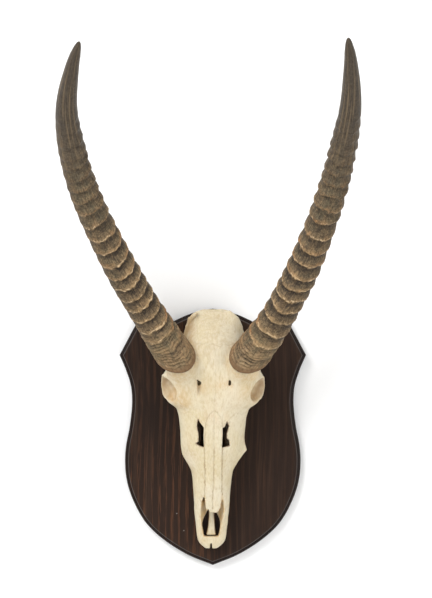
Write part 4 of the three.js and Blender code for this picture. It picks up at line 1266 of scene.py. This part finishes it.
def dryBone():
    material, tree, shader = newMaterial("dryBone", **{"Roughness": 0.58, "Specular IOR Level": 0.3})
    place = objectPlace(tree)
    cloud = grain(tree, place, (1, 1, 0.6), 22, 4, 0.55)
    fleck = grain(tree, place, (1, 1, 0.45), 160, 4, 0.6)
    pores = grain(tree, place, (1, 1, 0.35), 900, 3, 0.6)
    lines = grain(tree, place, (1, 1, 0.07), 620, 3, 0.6)
    blotch = grain(tree, place, (1, 1, 0.8), 95, 4, 0.7)
    speck = grain(tree, place, (1, 1, 0.3), 400, 3, 0.65)
    patches = ramp(tree, plus(tree, fleck, blotch), 0.85, 1.15, 0.3, 1.0)
    colour = layers(
        tree, skull["cream"],
        (ramp(tree, cloud, 0.32, 0.68), skull["chalk"]),
        # dust, with painted shade on the left side of the braincase
        (times(tree, painted(tree, "dustAndShade"), patches), skull["dustAndShadeGrey"]),
        # stains, with painted shade and dirt round the horn bases and on the left side
        (times(tree, painted(tree, "stainAndShade"), ramp(tree, fleck, 0.3, 0.66, 0.35, 1.0)), skull["ochre"]),
        (ramp(tree, speck, 0.47, 0.66, 0, 0.3), skull["fleckTan"]),
        (ramp(tree, speck, 0.5, 0.36, 0, 0.3), skull["chalk"]),
        (ramp(tree, fleck, 0.52, 0.72, 0, 0.42), skull["fleckTan"]),
        (ramp(tree, lines, 0.55, 0.72, 0, 0.45), skull["fleckTan"]),
        (ramp(tree, pores, 0.6, 0.75, 0, 0.35), skull["seamBrown"]),
        # painted shade in the hollows
        (painted(tree, "hollowShade"), skull["hollowShadeBrown"]),
        # painted shade deep in the holes
        (painted(tree, "deepShade"), skull["deepShadeBrown"]),
        (painted(tree, "seam"), skull["seamBrown"]),
    )
    tree.links.new(colour, shader.inputs["Base Color"])
    shader.inputs["Subsurface Weight"].default_value = 0.12
    shader.inputs["Subsurface Radius"].default_value = (0.004, 0.0025, 0.0015)
    shader.inputs["Subsurface Scale"].default_value = 1.0
    bump(tree, shader, plus(tree, pores, fleck, speck), 0.35, 0.0009)
    return material


def boneMarks(x, out, z, points, normal, dustAndShade, nearSeam):  # where each stain, dust, joint and painted shade lies
    socket = np.exp(-np.clip(socketField(x, out, z) + 0.3, 0, None) / 0.8)
    warmSocket = socket * (0.7 + 0.4 * softNoise(points, 9, 22))
    # painted shade lies along the sockets' inner edges
    rightSocketShade = bell(lineDistance(x, z, skull["rightSocketShade"]) / 4.5)
    corner = np.where(x < 0, bell((x + 74) / 6, (z - 88) / 9), rightSocketShade)
    shade = 0.34 + 0.3 * smoothStep(62, 78, np.abs(x)) + 0.08 * (x > 0)
    socket = socket * (shade + 0.55 * corner + 0.25 * softNoise(points, 5, 21))
    # painted shadow in the furrow below the left brow hole
    furrow = 0.6 * bell((x - brow["left"] + 0.3) / 2.2, (z - 81) / 4.5)
    passage = barField(x, out, z, nosePassage["line"], nosePassage["radii"], 6)
    inside = smoothStep(1.2, -0.5, passage)
    nasalWall = smoothStep(1.6, 0.2, outlineField(x, z, openings["nasal"]))
    nasalWall = nasalWall * smoothStep(0.85, 0.6, normal[:, 1]) * (out > 36)
    muzzle = smoothStep(-78, -90, z)
    # the left side of the braincase, darker: painted shade where it turns away from the light, and dirt
    leftFlank = smoothStep(-25, -37, x) * smoothStep(120, 140, z)
    # painted shade in the sockets, the furrow and inside the nose passage
    hollowShade = socket + furrow + 0.75 * inside * (1 - 0.85 * muzzle) + 0.12 * leftFlank
    roof = faceColumn(z, 1)
    # painted shade deep in the nose passage, and on the walls of the face holes and slots
    deepShade = smoothStep(5, 2, passage) * smoothStep(6, 12, roof - out) * smoothStep(-74, -58, z)
    for name in ("leftFace", "rightFace"):
        wall = smoothStep(1.5, 0.4, np.abs(outlineField(x, z, openings[name]))) * (out > 60)
        deepShade = np.maximum(deepShade, wall * smoothStep(2.0, 4.0, roof - out))
    slots = np.minimum(outlineField(x, z, openings["leftSlot"]), outlineField(x, z, openings["rightSlot"]))
    deepShade = np.maximum(deepShade, smoothStep(1.4, 0.5, np.abs(slots)) * smoothStep(6, 10, roof - out) * 0.5)
    stainAndShade = sum(level * bell((x - cx) / wx, (z - cz) / wz) for cx, cz, wx, wz, level in stains)
    stainAndShade = stainAndShade * (0.75 + 0.5 * softNoise(points, 13, 9))
    # painted contact shade, with dirt, where the horns meet the bone
    collar = hornCollar(x, out, z)
    # dust on the crown, heavier to the left as painted shade on the side turned from the light
    crown = 0.18 * smoothStep(95, 125, z) + 0.35 * dustAndShade * (1 - 0.7 * smoothStep(12, 30, x))
    bolder = 1 + 0.8 * smoothStep(5, -30, z)
    return {
        # real stains, with painted shade and dirt on the left side and round the horn bases
        "stainAndShade": stainAndShade + warmSocket + 1.1 * nasalWall * muzzle + 0.65 * leftFlank + 0.45 * collar,
        "hollowShade": hollowShade,
        "deepShade": deepShade,
        "dustAndShade": crown + leftFlank,
        "seam": nearSeam * bolder * (0.45 + 0.35 * softNoise(points, 8, 12)),
    }


def makeSkull(material):
    cell = skull["cell"]
    xs = np.arange(*skull["gridX"], cell)
    outs = np.arange(skull["flatBack"] - 3, skull["gridFront"], cell)
    zs = np.arange(*skull["gridZ"], cell)
    field = skullField(xs[:, None, None], outs[None, :, None], zs[None, None, :])
    points, faces = skinOf(field, xs, outs, zs)
    points, _ = settle(points)
    points, faces = refineSeams(points, faces)
    points, normal = settle(points)
    x, out, z = points.T
    facing = smoothStep(0.0, 0.35, normal[:, 1])
    nearSeam = seamMarks(points)[1] * facing * (out > skull["seamFront"])
    points = points - normal * (skull["seamDepth"] * nearSeam)[:, None]
    dustAndShade = smoothStep(108, 138, z) * smoothStep(0.0, 0.5, normal[:, 1])
    uneven = 0.3 * softNoise(points, 11, 5) + (0.1 + 0.12 * dustAndShade) * softNoise(points, 3.8, 6)
    points = points + normal * uneven[:, None]

    sx, sz = leanPoints(points[:, 0], points[:, 2])
    piece = meshPiece("skull", toScene(sx, points[:, 1], sz), faces, material)
    fixNormals(piece)

    for word, values in boneMarks(x, out, z, points, normal, dustAndShade, nearSeam).items():
        paint(piece, word, np.clip(values, 0, 1))
    print("skull:", len(points), "points")
    return handIn(piece, "bone", "skull")


bone = dryBone()
makeSkull(bone)


# The cheek teeth

def toothEnamel():
    material, tree, shader = newMaterial("toothEnamel", **{"Roughness": 0.3})
    cloud = grain(tree, objectPlace(tree), (1, 0.4, 1), 260, 3)
    colour = layers(tree, toothRow["ivory"], (ramp(tree, cloud, 0.3, 0.7), toothRow["brown"]),
                    (painted(tree, "crown"), toothRow["dark"]))
    tree.links.new(colour, shader.inputs["Base Color"])
    bump(tree, shader, cloud, 0.2, 0.0005)
    return material


def makeTooth(side, index, material):
    lengths, widths, space = toothRow["lengths"], toothRow["widths"], toothRow["space"]
    middle = toothRow["start"] + sum(lengths[:index]) + index * space + lengths[index] / 2
    share = (middle - toothRow["start"]) / toothRow["total"]
    x = side * (toothRow["innerStart"] + (toothRow["innerEnd"] - toothRow["innerStart"]) * share)
    halfX, halfZ = widths[index] / 2 * 0.97, lengths[index] / 2 * 0.99
    around = toothRow["around"]
    angle = np.linspace(0, 2 * np.pi, around, endpoint=False)
    c, s = np.cos(angle), np.sin(angle)
    a = np.sign(c) * np.abs(c) ** 0.62
    b = np.sign(s) * np.abs(s) ** 0.55
    twoLobes = index > 2  # the molars
    if twoLobes:
        a = a * (1 - 0.13 * bell(b / 0.22))
    gum, bite = toothRow["gum"] - 0.3, toothRow["bite"]
    rows, depth = [], []
    for t in np.linspace(0, 1, 10):
        out = gum + (bite + 1.5 - gum) * t
        swell = 0.95 + 0.06 * math.sin(math.pi * t) - 0.06 * t * t
        rows.append(toScene(x + side * a * halfX * swell, out, middle + b * halfZ * min(1, swell)))
        depth.append(np.full(around, 0.35 * (1 - t) ** 2))
    for t in np.linspace(0.97, 0.06, 12):  # worn crown with crescent ridges
        u, v = a * t, b * t
        local = 2 * (np.abs(v) - 0.5) if twoLobes else v
        crescent = np.hypot(u * 1.1, local * 0.95)
        pit = bell((crescent - 0.42) / 0.13)
        out = bite + 0.4 + 1.3 * pit + 0.9 * bell(u / 0.08) * (1 - t)
        out = out + 0.3 * (t < 0.9)
        rows.append(toScene(x + side * u * halfX * 0.95, out, middle + v * halfZ * 0.97))
        depth.append(0.85 * pit)
    points = np.vstack(rows + [toScene([x], [gum], [middle]), toScene([x], [bite + 1], [middle])])
    word = "left" if side < 0 else "right"
    flatX, flatZ = leanPoints(points[:, 0] / mm, points[:, 2] / mm)
    points = np.stack([flatX * mm, points[:, 1], flatZ * mm], -1)
    tooth = meshPiece(f"{word}Tooth{index + 1}", points, closedFaces(len(rows), around), material)
    fixNormals(tooth)
    paint(tooth, "crown", np.append(np.concatenate(depth), [0, 0.3]))
    return handIn(tooth, "tooth_enamel", f"{word}_tooth_{index + 1}")


enamel = toothEnamel()
for side in (-1, 1):
    for index in range(len(toothRow["lengths"])):
        makeTooth(side, index, enamel)
print("teeth: twelve upper cheek teeth")
